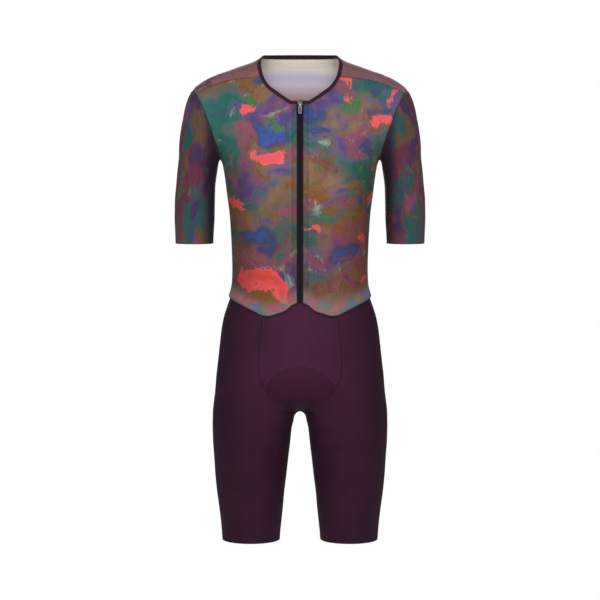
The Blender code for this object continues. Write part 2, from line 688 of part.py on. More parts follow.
def pad_net(s):
    """The seat pad's upper face: one net from its front end, through the crotch, to its back."""
    front, back = straight([(0, PAD_FRONT_Z)], -1)[0], straight([(0, PAD_BACK_Z)], 1)[0]
    bottom = s["crotch_seam"][0]
    half = PAD_ROWS // 2
    spine = join(middle_line(front, bottom, half), middle_line(bottom, back, half))
    share = np.linspace(0, 1, PAD_ROWS + 1)
    half_widths = np.interp(share, *np.array(PAD_HALF_WIDTHS).T)
    columns = [spine]
    for _ in range(PAD_COLUMNS):
        step = half_widths[:, None] / PAD_COLUMNS
        spread = np.cross(np.gradient(columns[-1], axis=0), outward(columns[-1]))
        spread *= np.sign(spread[:, :1]) / np.linalg.norm(spread, axis=1, keepdims=True)
        columns.append(settle(columns[-1] + spread * step, 3))
    return np.stack(columns, axis=1)


# ---------------------------------------------------------------- Blender objects

def clear_scene():
    for thing in list(bpy.data.objects):
        bpy.data.objects.remove(thing, do_unlink=True)


def material(name, hex_colour, roughness, metallic=0.0):
    """A Principled material from an sRGB hex colour."""
    mat = bpy.data.materials.new(name)
    mat.use_nodes = True
    shader = mat.node_tree.nodes["Principled BSDF"]
    parts = [int(hex_colour[i:i + 2], 16) / 255 for i in (0, 2, 4)]
    linear = [c / 12.92 if c <= 0.04045 else ((c + 0.055) / 1.055) ** 2.4 for c in parts]
    shader.inputs["Base Color"].default_value = (*linear, 1.0)
    shader.inputs["Roughness"].default_value = roughness
    shader.inputs["Metallic"].default_value = metallic
    return mat


def add_mesh(name, points, faces, mat, parent, home):
    """One named object with its mesh, shaded smooth but for its sharp rims."""
    mesh = bpy.data.meshes.new(name)
    mesh.from_pydata([tuple(p * MM) for p in points], [], faces)
    mesh.materials.append(mat)
    mesh.shade_smooth()
    mesh.set_sharp_from_angle(angle=math.radians(50))
    obj = bpy.data.objects.new(name, mesh)
    obj.parent = parent
    home.objects.link(obj)
    return obj


def block(name, low, high, corner, home):
    """A box between two corners, in the zip's own frame, with its upright edges rounded."""
    low, high = np.array(low) * MM, np.array(high) * MM
    bm = bmesh.new()
    size = Matrix.Diagonal((*(high - low), 1.0))
    bmesh.ops.create_cube(bm, size=1.0, matrix=Matrix.Translation((low + high) / 2) @ size)
    if corner:
        upright = [e for e in bm.edges if abs(e.verts[0].co.z - e.verts[1].co.z) > 1e-6]
        bmesh.ops.bevel(bm, geom=upright, offset=corner * MM, segments=3, profile=0.5,
                        affect="EDGES")
    return from_bmesh(name, bm, home)


def rod(name, radius, length, home, sides=20):
    """A cylinder along X, centred on the origin."""
    bm = bmesh.new()
    bmesh.ops.create_cone(bm, cap_ends=True, segments=sides, radius1=radius * MM,
                          radius2=radius * MM, depth=length * MM,
                          matrix=Matrix.Rotation(math.pi / 2, 4, "Y"))
    return from_bmesh(name, bm, home)


def from_bmesh(name, bm, home):
    mesh = bpy.data.meshes.new(name)
    bm.to_mesh(mesh)
    bm.free()
    obj = bpy.data.objects.new(name, mesh)
    home.objects.link(obj)
    return obj


def combine(obj, other, operation, cutters):
    """A live Boolean, whose second object is kept out of the model."""
    cutters.objects.link(other)
    for home in list(other.users_collection):
        if home != cutters:
            home.objects.unlink(other)
    other.hide_render = True
    other.display_type = "WIRE"
    boolean = obj.modifiers.new(f"{operation.lower()}_{other.name}", "BOOLEAN")
    boolean.operation, boolean.object, boolean.solver = operation, other, "EXACT"


# ---------------------------------------------------------------- the zip's hard parts

def zip_frame():
    """The zip's own frame at its top end: X across, Y up the zip, Z out from the cloth."""
    top, lower = straight([(0, ZIP_TOP_Z), (0, ZIP_TOP_Z - SLIDER_BELOW)], -1)
    up = Vector(top - lower).normalized()
    across = Vector((1, 0, 0))
    out = across.cross(up)
    turn = Matrix((across, up, out)).transposed().to_4x4()
    return Matrix.Translation(Vector(top) * MM) @ turn


def make_slider(frame, mat, parent, home, cutters):
    half = SLIDER_WIDTH / 2
    slider = block("zip_slider", (-half, -SLIDER_BELOW, UPPER_PLATE[0]),
                   (half, SLIDER_ABOVE, UPPER_PLATE[1]), 2.2, home)
    lower = block("slider_lower_plate", (-half + 0.4, -SLIDER_BELOW + 0.6, LOWER_PLATE[0]),
                  (half - 0.4, SLIDER_ABOVE, LOWER_PLATE[1]), 2.0, home)
    post = block("slider_post", (-POST_WIDTH / 2, POST_FROM, LOWER_PLATE[0] + 0.3),
                 (POST_WIDTH / 2, POST_TO, UPPER_PLATE[1] - 0.3), 0.0, home)
    pieces = [lower, post]
    for side in (-1, 1):
        edges = sorted((side * LUG_INSIDE, side * (LUG_INSIDE + LUG_THICK)))
        pieces.append(block(f"slider_lug_{'right' if side < 0 else 'left'}",
                            (edges[0], -PIN_DOWN - LUG_LENGTH / 2, UPPER_PLATE[1] - 0.3),
                            (edges[1], -PIN_DOWN + LUG_LENGTH / 2, LUG_TOP), 0.0, home))
    pin = rod("slider_pin", PIN_RADIUS, 2 * LUG_INSIDE + LUG_THICK, home)
    pin.matrix_world = frame @ Matrix.Translation(Vector((0, -PIN_DOWN, PIN_HEIGHT)) * MM)
    for piece in pieces:
        piece.matrix_world = frame
    for piece in pieces + [pin]:
        combine(slider, piece, "UNION", cutters)
    slider.matrix_world = frame
    finish_hard_part(slider, mat, parent)


def make_pull(frame, mat, parent, home, cutters):
    """The pull tab: a flat tongue on a short barrel that turns on the slider's pin."""
    hinge = (frame @ Matrix.Translation(Vector((0, -PIN_DOWN, PIN_HEIGHT)) * MM)
             @ Matrix.Rotation(PULL_LEAN, 4, "X"))
    neck, half, thick = PULL_NECK / 2, PULL_WIDTH / 2, PULL_THICK / 2
    pull = block("zip_pull", (-half, -PULL_LENGTH, -thick), (half, -3.6, thick), 1.9, home)
    tongue = block("pull_neck", (-neck, -5.6, -thick + 0.1), (neck, 0.0, thick - 0.1), 0.0, home)
    barrel = rod("pull_barrel", BARREL_RADIUS, BARREL_LENGTH, home)
    bore = rod("pull_bore", BARREL_BORE, BARREL_LENGTH + 2, home)
    for piece in (pull, tongue, barrel, bore):
        piece.matrix_world = hinge
    combine(pull, tongue, "UNION", cutters)
    combine(pull, barrel, "UNION", cutters)
    combine(pull, bore, "DIFFERENCE", cutters)
    finish_hard_part(pull, mat, parent)


def finish_hard_part(obj, mat, parent):
    obj.data.materials.append(mat)
    place = obj.matrix_world.copy()
    obj.parent = parent
    obj.matrix_world = place


# ---------------------------------------------------------------- the whole suit

def pad_relief(rows):
    """The pad presses the centre front panel out below its front end, but not at the seams."""
    below = [1.0 if r <= N_PAD_SEAM else 0.0 for r in range(rows)]
    below[0], below[1] = 0.0, 0.6
    across = np.ones(N_HALF_CENTRE + 1)
    across[-1] = 0.0
    return PAD_RELIEF * np.outer(below, across)


def pad_thickness():
    """Thick along its middle, thin all round its edge."""
    row = np.arange(PAD_ROWS + 1)
    from_ends = np.clip(np.minimum(row, PAD_ROWS - row) / 2, 0, 1)
    from_middle = np.abs(np.arange(-PAD_COLUMNS, PAD_COLUMNS + 1)) / PAD_COLUMNS
    full = np.outer(from_ends, 1 - from_middle ** 3)
    return (PAD_EDGE + (PAD_THICK - PAD_EDGE) * full).reshape(-1)


def build():
    clear_scene()
    home = bpy.data.collections.new(COLLECTION)
    cutters = bpy.data.collections.new("cutters")
    bpy.context.scene.collection.children.link(home)
    bpy.context.scene.collection.children.link(cutters)
    suit = bpy.data.objects.new("suit", None)
    home.objects.link(suit)

    printed = material("printed_jersey_knit", "7A5646", 0.7)
    shoulder_knit = material("shoulder_knit", "85505A", 0.7)
    sleeve_knit = material("sleeve_knit", "6A2C44", 0.7)
    plum = material("plum_shorts_knit", "43263C", 0.75)
    trim = material("plum_binding", "371D26", 0.7)
    tape = material("zip_tape", "19161E", 0.6)
    steel = material("zip_metal", "B9B7B8", 0.35, 1.0)
    foam = material("pad_foam", "4A4048", 0.9)

    s = all_seams()
    pairs = (
        ("front", front_net(s), jersey_lift, 0, printed),
        ("sleeve", sleeve_net(s), jersey_lift, N_SLEEVE + N_UNDERARM_BEND + 1, sleeve_knit),
        ("leg", leg_net(s), shorts_lift, N_INSEAM + 1, plum),
        ("zip_tape", tape_net(s), tape_lift, 0, tape),
    )
    for name, grid, rise, closed_rows, mat in pairs:
        for side, points in (("left", grid), ("right", mirror(grid))):
            add_mesh(f"{name}_{side}", *wall(points, rise, closed_rows), mat, suit, home)

    add_mesh("back", *wall(back_net(s), jersey_lift, halves=True), shoulder_knit, suit, home)
    band = binding_net(s)
    crown = np.zeros(band.shape[:2])
    crown[1] = BINDING_ROUND
    add_mesh("neck_binding", *wall(band, jersey_lift, halves=True, thick=BINDING_THICK,
                                   relief=crown), trim, suit, home)
    centre = front_centre_net(s)
    add_mesh("front_centre", *wall(centre, shorts_lift, halves=True,
                                   relief=pad_relief(len(centre))), plum, suit, home)
    add_mesh("seat", *wall(seat_net(s), shorts_lift, halves=True), plum, suit, home)
    add_mesh("seat_pad", *wall(pad_net(s), lambda p: PAD_LIFT, halves=True,
                               thick=pad_thickness()), foam, suit, home)

    frame = zip_frame()
    make_slider(frame, steel, suit, home, cutters)
    make_pull(frame, steel, suit, home, cutters)


if __name__ == "__main__":
    build()
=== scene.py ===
"""Cycling aerosuit: a one-piece, short-sleeved race suit, filled out as it is when worn.

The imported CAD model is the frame. The cloth here is cut to the same general figure as the CAD
panels, finer: thin knit with rounded edges, pressed-in seams and a few soft folds, then
stitching, the zip's coil and the materials. +Z is up, the suit faces -Y and +X is the wearer's
left. Lengths are millimetres, except in the meshes, the settings, the stage and the places that
materials read, which are metres.
"""

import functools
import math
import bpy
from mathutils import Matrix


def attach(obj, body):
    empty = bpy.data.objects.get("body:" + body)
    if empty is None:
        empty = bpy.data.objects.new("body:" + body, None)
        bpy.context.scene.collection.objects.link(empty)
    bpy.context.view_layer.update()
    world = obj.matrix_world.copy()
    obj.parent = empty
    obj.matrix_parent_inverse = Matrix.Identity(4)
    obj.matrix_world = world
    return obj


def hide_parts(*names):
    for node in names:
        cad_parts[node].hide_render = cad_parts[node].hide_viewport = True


bl_info = {
    "name": "Cycling Aerosuit",
    "version": (1, 0, 0),
    "blender": (4, 5, 0),
    "location": "View3D > Sidebar > Aerosuit",
    "description": "Dresses a one-piece cycling suit: panels, stitching, zip, materials and stage",
    "category": "Object",
}

import bmesh
import bpy
import numpy as np
from mathutils import Matrix, Vector

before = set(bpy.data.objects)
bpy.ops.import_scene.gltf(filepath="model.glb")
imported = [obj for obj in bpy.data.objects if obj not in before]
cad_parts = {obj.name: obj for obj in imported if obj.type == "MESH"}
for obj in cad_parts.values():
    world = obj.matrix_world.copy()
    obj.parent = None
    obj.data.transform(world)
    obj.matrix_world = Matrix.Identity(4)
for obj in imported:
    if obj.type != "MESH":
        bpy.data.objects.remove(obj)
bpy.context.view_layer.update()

MM = 0.001
SUIT, PULL = "suit", "pull"

# ---------------------------------------------------------------- sizes shared with the CAD, mm

VIEW_DISTANCE, VIEW_HEIGHT = 5000.0, -136.0    # the front view, which the seams are drawn in
JERSEY_LIFT = 1.2          # outer face of the jersey above the figure
HEM_FLARE = 2.2            # the jersey's loose front hem stands this much further out
SHORTS_TUCK = -1.2         # outer face of the shorts where the jersey lies over them
PAD_RELIEF = 1.6           # how far the seat pad pushes the shorts outwards
RELIEF_STEP = 5.0          # width of the step round the pad's front end

WAIST_Z = -442.0           # top edge of the shorts, under the jersey
FRONT_WAIST_X, SEAT_WAIST_X = 66.0, 47.0
HIP_CORE_Z = -600.0        # a point inside the hips, which the middle line runs round
LEG_HEM_Z = -958.0
SLEEVE_HEM_Z = -362.0
SIDE_Y = 4.0               # the side seams run just behind the middle of the body
SIDE_HEM_Z, SIDE_TOP_Z = -466.0, -225.0
UNDERARM_BEND_Z = -218.0
ZIP_HALF = 6.0             # half the width of the closed zip
ZIP_TOP_Z, ZIP_BOTTOM_Z = -80.0, -474.0
ZIP_NECK_Z, ZIP_FOOT_Z = -84.8, -475.0         # the front panels' edges along the zip
TAPE_LIFT = 0.9
SLIDER_BELOW = 9.7         # how far down the zip the slider reaches from its top end
BINDING_WIDTH, BINDING_THICK = 7.0, 2.0
BINDING_BEHIND = 2.2       # how much deeper the fold is behind the neck
BINDING_ROUND = 0.7        # the band's middle stands this much above its edges
PAD_FRONT_Z, PAD_BACK_Z = -612.0, -600.0
PAD_LIFT, PAD_THICK, PAD_EDGE = -5.0, 6.5, 1.8
# share of the way from the pad's front end to its back end, half width there
PAD_HALF_WIDTHS = ((0, 26), (0.08, 46), (0.2, 50), (0.3, 33), (0.4, 20), (0.5, 15), (0.6, 20),
                   (0.7, 33), (0.8, 50), (0.92, 48), (1, 26))

# steps along each shared seam, before the nets are made finer
N_NECK_FRONT, N_SHOULDER, N_NECK_BACK = 8, 5, 8
N_SIDE, N_UNDERARM_BEND = 11, 4
N_ARMHOLE_FRONT, N_ARMHOLE_BACK = 10, 11
N_SLEEVE = 8
N_INSEAM, N_PAD_SEAM, N_FRONT_SEAM = 11, 8, 7
N_HALF_CENTRE = 5
N_TAPE = 16
UNDERARM_CROWDING = 1.35
N_LEG_ROUND = 22
PAD_ROWS, PAD_COLUMNS = 20, 4

# ---------------------------------------------------------------- sizes of the finer cloth, mm

FINER = 5                  # fine steps in each step of a net
NEAR_EDGE = (0.009, 0.027, 0.055, 0.11, 0.16)  # extra rows, as shares of a step in from an edge
NO_EDGE = 99.0             # the distance written where a panel has no seam or no free hem
EDGE_ROUND, THICK_ROUND, TAPE_ROUND = 0.45, 0.8, 0.3     # radius of the edges of each thickness
GROOVE_WIDTH = 1.7         # how far a sewn seam's groove reaches on each side
HEM_SHADE = (1.0, 6.5)     # painted shade of the jersey's hem on the shorts: full this near it, gone this far
ARCH_GROOVE = 0.45         # depth of the line pressed in round the pad's front end
PAD_CHANNEL = 1.8          # depth of the seat pad's moulded channels
TAPE_THICK, TAPE_BEAD, TAPE_GROOVE = 1.0, 0.4, 0.35      # bead beside the closed zip's groove
COIL_BEHIND, COIL_REACH, COIL_WIRE = 1.75, 2.2, 0.55     # behind the tapes' face, to each side
SLIDER_BEVEL, PULL_BEVEL = 0.22, 0.14
PANEL_RIM, PANEL_SUNK, PANEL_SLOPE = 0.9, 0.25, 0.15     # the pull's sunk panel
JERSEY_ROWS, SHORTS_ROWS = (-2.1, 2.1), (-2.3, 2.3)      # rows of stitches beside a seam
HEM_ROW, ZIP_ROW, NECK_ROW, ARCH_ROW = -6.0, 4.6, 2.6, 1.0    # and beside the other edges

# ---------------------------------------------------------------- the figure, as stacked sections

# height, half width, depth in front, depth behind, squareness
TORSO = (
    (46, 38, 22, 46, 2.0),
    (28, 58, 34, 58, 2.0),
    (13, 70, 44, 64, 2.1),
    (0, 89, 54, 69, 2.1),
    (-14, 127.5, 61, 75, 2.1),
    (-26, 156.5, 66, 79, 2.1),
    (-40, 174, 72, 84, 2.15),
    (-60, 184, 80, 90, 2.2),
    (-90, 186, 93, 98, 2.25),
    (-130, 177, 108, 104, 2.3),
    (-170, 163, 117, 107, 2.35),
    (-210, 152, 119, 105, 2.35),
    (-260, 145, 114, 97, 2.3),
    (-310, 139, 107, 87, 2.25),
    (-360, 136, 102, 80, 2.2),
    (-410, 134.4, 99, 78, 2.2),
    (-440, 135.2, 99, 80, 2.2),
    (-470, 141.2, 100, 85, 2.2),
    (-488, 147.2, 101, 89.5, 2.2),
    (-505, 151.8, 102, 94, 2.2),
    (-545, 158.8, 104, 107, 2.2),
    (-585, 162, 105, 118, 2.25),
    (-620, 162.6, 103, 122, 2.25),
    (-648, 157.5, 95, 117, 2.2),
    (-668, 140, 82, 106, 2.1),
    (-682, 112, 64, 88, 2.0),
    (-691, 74, 42, 62, 2.0),
    (-695, 40, 22, 36, 2.0),
)

# height, middle across, middle in depth, half width, half depth, squareness
ARM = (
    (-31, 160, 3, 8, 10, 2.0),
    (-35, 163, 3, 18, 20, 2.0),
    (-42, 166, 3, 29, 31, 2.0),
    (-53, 170, 3, 39, 41, 2.0),
    (-67, 172.8, 3, 46.6, 50, 2.0),
    (-84, 176, 3, 50, 54, 2.0),
    (-104, 178.6, 3, 52.2, 57, 2.05),
    (-132, 187, 3, 49, 57, 2.05),
    (-164, 195.7, 2, 44.4, 54.5, 2.05),
    (-196, 202.4, 1, 38.8, 52, 2.05),
    (-212, 204.3, 0, 38.8, 51, 2.05),
    (-244, 208, -1, 38, 49, 2.05),
    (-276, 210, -3, 38.8, 47.5, 2.05),
    (-308, 210.5, -5, 38.8, 46, 2.05),
    (-340, 210.8, -7, 37.4, 44.5, 2.05),
    (-362, 211, -8, 36.5, 43.5, 2.05),
    (-390, 211, -9, 36, 43, 2.05),
)
LEG = (
    (-570, 84, 4, 60, 78, 2.0),
    (-610, 86, 6, 72, 90, 2.1),
    (-650, 89.5, 9, 79, 97, 2.15),
    (-680, 91.7, 10, 81.7, 99, 2.15),
    (-700, 93.3, 10, 82.2, 98, 2.15),
    (-716, 94.2, 9, 81.7, 97, 2.15),
    (-732, 96.2, 8, 79.9, 95, 2.1),
    (-764, 97.5, 6, 77.5, 91.5, 2.1),
    (-796, 98.2, 4, 74.4, 87.5, 2.1),
    (-828, 99, 2, 71.6, 83.5, 2.05),
    (-860, 99.4, 0, 67.9, 79, 2.05),
    (-892, 98.6, -2, 64.3, 75, 2.05),
    (-924, 98.4, -3, 60.7, 70.5, 2.05),
    (-952, 98.6, -4, 58.2, 67, 2.05),
    (-985, 98.5, -5, 56.4, 64, 2.05),
)
ARM_BLEND, HIP_BLEND, CROTCH_BLEND = 15.0, 22.0, 8.0
SLOPE_REACH = 50.0    # the sections' slope only tells the distance this close to them
TORSO_REACH, ARM_REACH, LEG_REACH = 200.0, 65.0, 100.0    # no section is wider than this

# ---------------------------------------------------------------- seams, as seen from in front

# across, height: where each seam shows in a front view drawn at full size
NECK_FRONT = ((18.6, -84), (32.8, -76), (50.8, -63.6), (65, -52.8), (76, -38),
              (82, -24), (84, -12), (84, -2))
SHOULDER_SEAM = ((107, -32.8), (132, -35.4), (148, -38.6), (164, -43.6), (184, -51.8),
                 (196, -58.6), (207, -65))
SHOULDER_START_Z = -31.4
ARMHOLE_FRONT = ((200, -79), (192, -96), (184, -117), (177, -137), (171, -155), (165, -170))
JERSEY_HEM = ((135.4, -475.4), (113.4, -488.2), (92.8, -498), (73.2, -507.2),
              (66, -508.4), (57, -506.8), (42.2, -502.3), (28, -496.6), (20, -489.6), (13, -483.4),
              (9.2, -478.2))
FRONT_SEAM = ((15, -711), (28, -704.5), (42, -696.5), (54, -686), (60, -677), (66, -666),
              (70.6, -656), (76, -645), (80.5, -634), (83.6, -618), (84, -596), (82.6, -566),
              (79, -536), (74, -510), (70, -480))
PAD_ARCH = ((0, -611.5), (26, -617), (44, -626.5), (59, -637.5), (66, -646.5))
PAD_ARCH_END_Z = -656.0

# across, height: the same from behind
NECK_BACK_Z = 8.0
ARMHOLE_BACK = ((207, -67), (200, -82), (191, -100), (182, -122), (175, -142), (168, -160))
SEAT_SEAM = ((14, -712), (26, -707), (42, -694), (56, -672), (67, -642), (71, -604),
             (67, -560), (56, -500))
BACK_HEM_Z = (SIDE_HEM_Z, -470.0, -474.0, -476.0)    # from the side seam to the middle

SHOULDER_RIDGE = (213.0, 2.0, -57.0)             # where the armhole crosses the shoulder
UNDERARM_X = 161.0
CROTCH_POINT_Z, CROTCH_Y = -714.0, 9.0           # where four panels meet beside the crotch
INSEAM_TOP_Z = -740.0                            # up to here the inseam runs up the leg's side
UNDERARM_SEARCH, CROTCH_SEARCH = (-270, -120), (-745, -640)    # upwards past the two points
FLARE_Z, FLARE_Y = (-430, -500), (10, 70)        # the jersey flares below this, on the front
TUCK_Z = (-485, -515)                            # the shorts come out from under the jersey
STITCHED_BELOW_Z = -500.0                        # the jersey covers the shorts' seams above

# ---------------------------------------------------------------- the figure as a distance field

def smooth_columns(rows, step=1.0):
    """Every column of a section table, as a smooth curve read at even heights."""
    table = np.array(sorted(rows), float)
    z, columns = table[:, 0], table[:, 1:]
    run, rise = np.diff(z), np.diff(columns, axis=0)
    slope = rise / run[:, None]
    tangent = np.vstack([slope[:1], np.zeros_like(slope[1:]), slope[-1:]])
    for i in range(1, len(z) - 1):
        before, after = slope[i - 1], slope[i]
        same_way = before * after > 0
        weight_a, weight_b = 2 * run[i] + run[i - 1], run[i] + 2 * run[i - 1]
        safe_before, safe_after = np.where(same_way, before, 1), np.where(same_way, after, 1)
        mean = (weight_a + weight_b) / (weight_a / safe_before + weight_b / safe_after)
        tangent[i] = np.where(same_way, mean, 0)
    heights = np.arange(z[0], z[-1] + step / 2, step)
    k = np.clip(np.searchsorted(z, heights, side="right") - 1, 0, len(z) - 2)
    t, h = ((heights - z[k]) / run[k])[:, None], run[k][:, None]
    values = ((1 + 2 * t) * (1 - t) ** 2 * columns[k] + t * (1 - t) ** 2 * h * tangent[k]
              + t * t * (3 - 2 * t) * columns[k + 1] + t * t * (t - 1) * h * tangent[k + 1])
    return heights, values.T


TORSO_CURVES, ARM_CURVES, LEG_CURVES = (smooth_columns(t) for t in (TORSO, ARM, LEG))


def section_gap(x, y, z, curves, is_torso):
    """Distance past the section's outline at this height, measured along its own level."""
    heights, columns = curves
    read = [np.interp(z, heights, column) for column in columns]
    if is_torso:
        half_width, front, behind, square = read
        half_depth = np.where(y < 0, front, behind)
    else:
        middle_x, middle_y, half_width, half_depth, square = read
        x, y = x - middle_x, y - middle_y
    radius = np.hypot(x, y) + 1e-9
    across, deep = np.abs(x / radius) / half_width, np.abs(y / radius) / half_depth
    return radius - (across ** square + deep ** square) ** (-1 / square)


def limb_distance(x, y, z, curves, is_torso=False):
    """Signed distance to one stack of sections, cut off flat beyond its two ends."""
    heights = curves[0]
    gap = section_gap(x, y, z, curves, is_torso)
    lean = (section_gap(x, y, z + 1, curves, is_torso)
            - section_gap(x, y, z - 1, curves, is_torso)) / 2
    gap = gap / np.sqrt(1 + (lean / (1 + (gap / SLOPE_REACH) ** 4)) ** 2)
    beyond = np.maximum(z - heights[-1], heights[0] - z)
    outside = np.hypot(np.maximum(gap, 0), np.maximum(beyond, 0))
    return np.where(beyond > 0, outside, np.maximum(gap, beyond))


def blend(a, b, width):
    """The nearer of two distances, rounded off where they are about equal."""
    share = np.maximum(width - np.abs(a - b), 0) / width
    return np.minimum(a, b) - share * share * width / 4


def figure(p):
    """Signed distance from points to the figure: negative inside it."""
    x, y, z = p[..., 0], p[..., 1], p[..., 2]
    torso = limb_distance(x, y, z, TORSO_CURVES, is_torso=True)
    arms = limb_distance(np.abs(x), y, z, ARM_CURVES)
    legs = blend(limb_distance(x, y, z, LEG_CURVES), limb_distance(-x, y, z, LEG_CURVES),
                 CROTCH_BLEND)
    return blend(blend(torso, arms, ARM_BLEND), legs, HIP_BLEND)


def slope_of(p, reach=0.5):
    """The field's gradient at each point."""
    columns = []
    for axis in range(3):
        d = np.zeros(3)
        d[axis] = reach
        columns.append((figure(p + d) - figure(p - d)) / (2 * reach))
    return np.stack(columns, -1)


def outward(p):
    """The figure's normals."""
    g = slope_of(p)
    return g / np.linalg.norm(g, axis=-1, keepdims=True)


def settle(p, steps=8):
    """Points moved onto the figure's surface."""
    p = np.array(p, float)
    for _ in range(steps):
        g = slope_of(p)
        move = figure(p)[..., None] * g / np.maximum((g * g).sum(-1, keepdims=True), 0.05)
        length = np.linalg.norm(move, axis=-1, keepdims=True)
        p -= move * np.minimum(1, 15 / np.maximum(length, 1e-9))
    return p


# ---------------------------------------------------------------- seams on the figure

def first_hit(start, end, steps=240, halvings=20):
    """Where straight lines from start to end first enter the figure, or come nearest to it."""
    start, end = np.atleast_2d(start).astype(float), np.atleast_2d(end).astype(float)
    share = np.linspace(0, 1, steps)[:, None, None]
    line = start + (end - start) * share
    inside = figure(line) < 0
    hit = np.where(inside.any(axis=0), inside.argmax(axis=0), np.abs(figure(line)).argmin(axis=0))
    before, after = np.maximum(hit - 1, 0), hit
    a, b = line[before, np.arange(len(start))], line[after, np.arange(len(start))]
    for _ in range(halvings):
        middle = (a + b) / 2
        is_in = (figure(middle) < 0)[:, None]
        a, b = np.where(is_in, a, middle), np.where(is_in, middle, b)
    return (a + b) / 2


def seen(places):
    """Places in the front view, put on the figure along the lines of sight."""
    x, z = np.array(places, float).T

    def at_depth(y):
        grow = (VIEW_DISTANCE + y) / VIEW_DISTANCE
        return np.stack([x * grow, np.full_like(x, y), VIEW_HEIGHT + (z - VIEW_HEIGHT) * grow], -1)

    return first_hit(at_depth(-TORSO_REACH), at_depth(150.0))


def straight(places, side):
    """Places in a square-on view from in front (side -1) or from behind (side 1)."""
    x, z = np.array(places, float).T
    far, near = (np.stack([x, np.full_like(x, side * y), z], -1) for y in (TORSO_REACH, -60.0))
    return first_hit(far, near)


def curve_through(points, per_span=16):
    """A smooth dense curve through a few points, laid on the figure."""
    p = np.array(points, float)
    q = np.vstack([2 * p[0] - p[1], p, 2 * p[-1] - p[-2]])
    knots = np.concatenate([[0], np.cumsum(np.sqrt(np.linalg.norm(np.diff(q, axis=0), axis=1)))])
    pieces = []
    for i in range(1, len(q) - 2):
        t0, t1, t2, t3 = knots[i - 1:i + 3]
        t = np.linspace(t1, t2, per_span, endpoint=False)[:, None]
        a1 = (t1 - t) / (t1 - t0) * q[i - 1] + (t - t0) / (t1 - t0) * q[i]
        a2 = (t2 - t) / (t2 - t1) * q[i] + (t - t1) / (t2 - t1) * q[i + 1]
        a3 = (t3 - t) / (t3 - t2) * q[i + 1] + (t - t2) / (t3 - t2) * q[i + 2]
        b1 = (t2 - t) / (t2 - t0) * a1 + (t - t0) / (t2 - t0) * a2
        b2 = (t3 - t) / (t3 - t1) * a2 + (t - t1) / (t3 - t1) * a3
        pieces.append((t2 - t) / (t2 - t1) * b1 + (t - t1) / (t2 - t1) * b2)
    return settle(np.vstack(pieces + [p[-1:]]))


def along(curve, segments, crowding=1.0):
    """A dense curve sampled at even steps, or at steps that are shorter near its start."""
    length = np.concatenate([[0], np.cumsum(np.linalg.norm(np.diff(curve, axis=0), axis=1))])
    places = np.linspace(0, 1, segments + 1) ** crowding * length[-1]
    return np.stack([np.interp(places, length, curve[:, i]) for i in range(3)], -1)


def reach_out(centre, directions, furthest, halvings=26):
    """Where rays from a point inside the figure come out of it."""
    near, far = np.full(len(directions), 0.5), np.full(len(directions), furthest)
    for _ in range(halvings):
        half = (near + far) / 2
        is_in = figure(centre + directions * half[:, None]) < 0
        near, far = np.where(is_in, half, near), np.where(is_in, far, half)
    return centre + directions * ((near + far) / 2)[:, None]


def ring(z, middle, start, end, segments, furthest=TORSO_REACH):
    """The figure's level line at one height, from one direction round to another (degrees)."""
    angles = np.radians(np.linspace(start, end, 181))
    directions = np.stack([np.cos(angles), np.sin(angles), np.zeros_like(angles)], -1)
    return along(reach_out(np.array([*middle, z]), directions, furthest), segments)


def middle_line(start, end, segments):
    """The figure's middle line between two of its points, the short way round the hips."""
    core = np.array([0, CROTCH_Y, HIP_CORE_Z])
    first, last = (math.atan2(p[1] - core[1], core[2] - p[2]) for p in (start, end))
    angles = np.linspace(first, last, 121)
    directions = np.stack([np.zeros_like(angles), np.sin(angles), -np.cos(angles)], -1)
    line = along(reach_out(core, directions, TORSO_REACH), segments)
    line[0], line[-1] = start, end
    return line


def limb_inside(curves, start, end, count=6):
    """Points up a limb's surface, on its side towards the body's middle."""
    z = np.linspace(start, end, count)
    x, y, half_width = (np.interp(z, curves[0], column) for column in curves[1][:3])
    return settle(np.stack([x - half_width, y, z], -1))


def limb_hem(curves, z, segments, furthest):
    """A limb's level hem, from the side towards the body's middle and once round."""
    middle = [np.interp(z, curves[0], column) for column in curves[1][:2]]
    return ring(z, middle, 180, 540, segments, furthest)


def split_at(curve, axis, value):
    """The two stretches of a dense curve before and after it reaches a coordinate."""
    k = int(np.abs(curve[:, axis] - value).argmin())
    return curve[:k + 1], curve[k:]


def join(*stretches):
    """Sampled stretches in a row, each starting where the last one ended."""
    return np.vstack([stretches[0]] + [s[1:] for s in stretches[1:]])


def mirror(points):
    return points * np.array([-1.0, 1.0, 1.0])


# ---------------------------------------------------------------- nets between seams

def net(bottom, top, left, right, relax=40):
    """A net of points on the figure between four seams, evened out by relaxing.

    bottom and top run along u, left and right run along v.
    """
    rows, columns = len(left), len(bottom)
    u, v = np.linspace(0, 1, columns)[None, :, None], np.linspace(0, 1, rows)[:, None, None]
    grid = ((1 - v) * bottom[None] + v * top[None] + (1 - u) * left[:, None] + u * right[:, None]
            - (1 - u) * (1 - v) * bottom[0] - u * (1 - v) * bottom[-1]
            - (1 - u) * v * top[0] - u * v * top[-1])
    inner = (slice(1, -1), slice(1, -1))
    grid[inner] = settle(grid[inner], 14)
    for _ in range(relax):
        mean = (grid[:-2, 1:-1] + grid[2:, 1:-1] + grid[1:-1, :-2] + grid[1:-1, 2:]) / 4
        grid[inner] = settle(mean, 1)
    grid[inner] = settle(grid[inner], 4)
    return grid


# ---------------------------------------------------------------- heights above the figure

def smooth_step(value, start, end):
    """0 at start, 1 at end, eased at both."""
    t = np.clip((value - start) / (end - start), 0, 1)
    return t * t * (3 - 2 * t)


def jersey_lift(p):
    """The jersey stands off the figure at its loose front hem."""
    near_hem = smooth_step(p[..., 2], *FLARE_Z)
    in_front = 1 - smooth_step(p[..., 1], *FLARE_Y)
    return JERSEY_LIFT + HEM_FLARE * near_hem * in_front


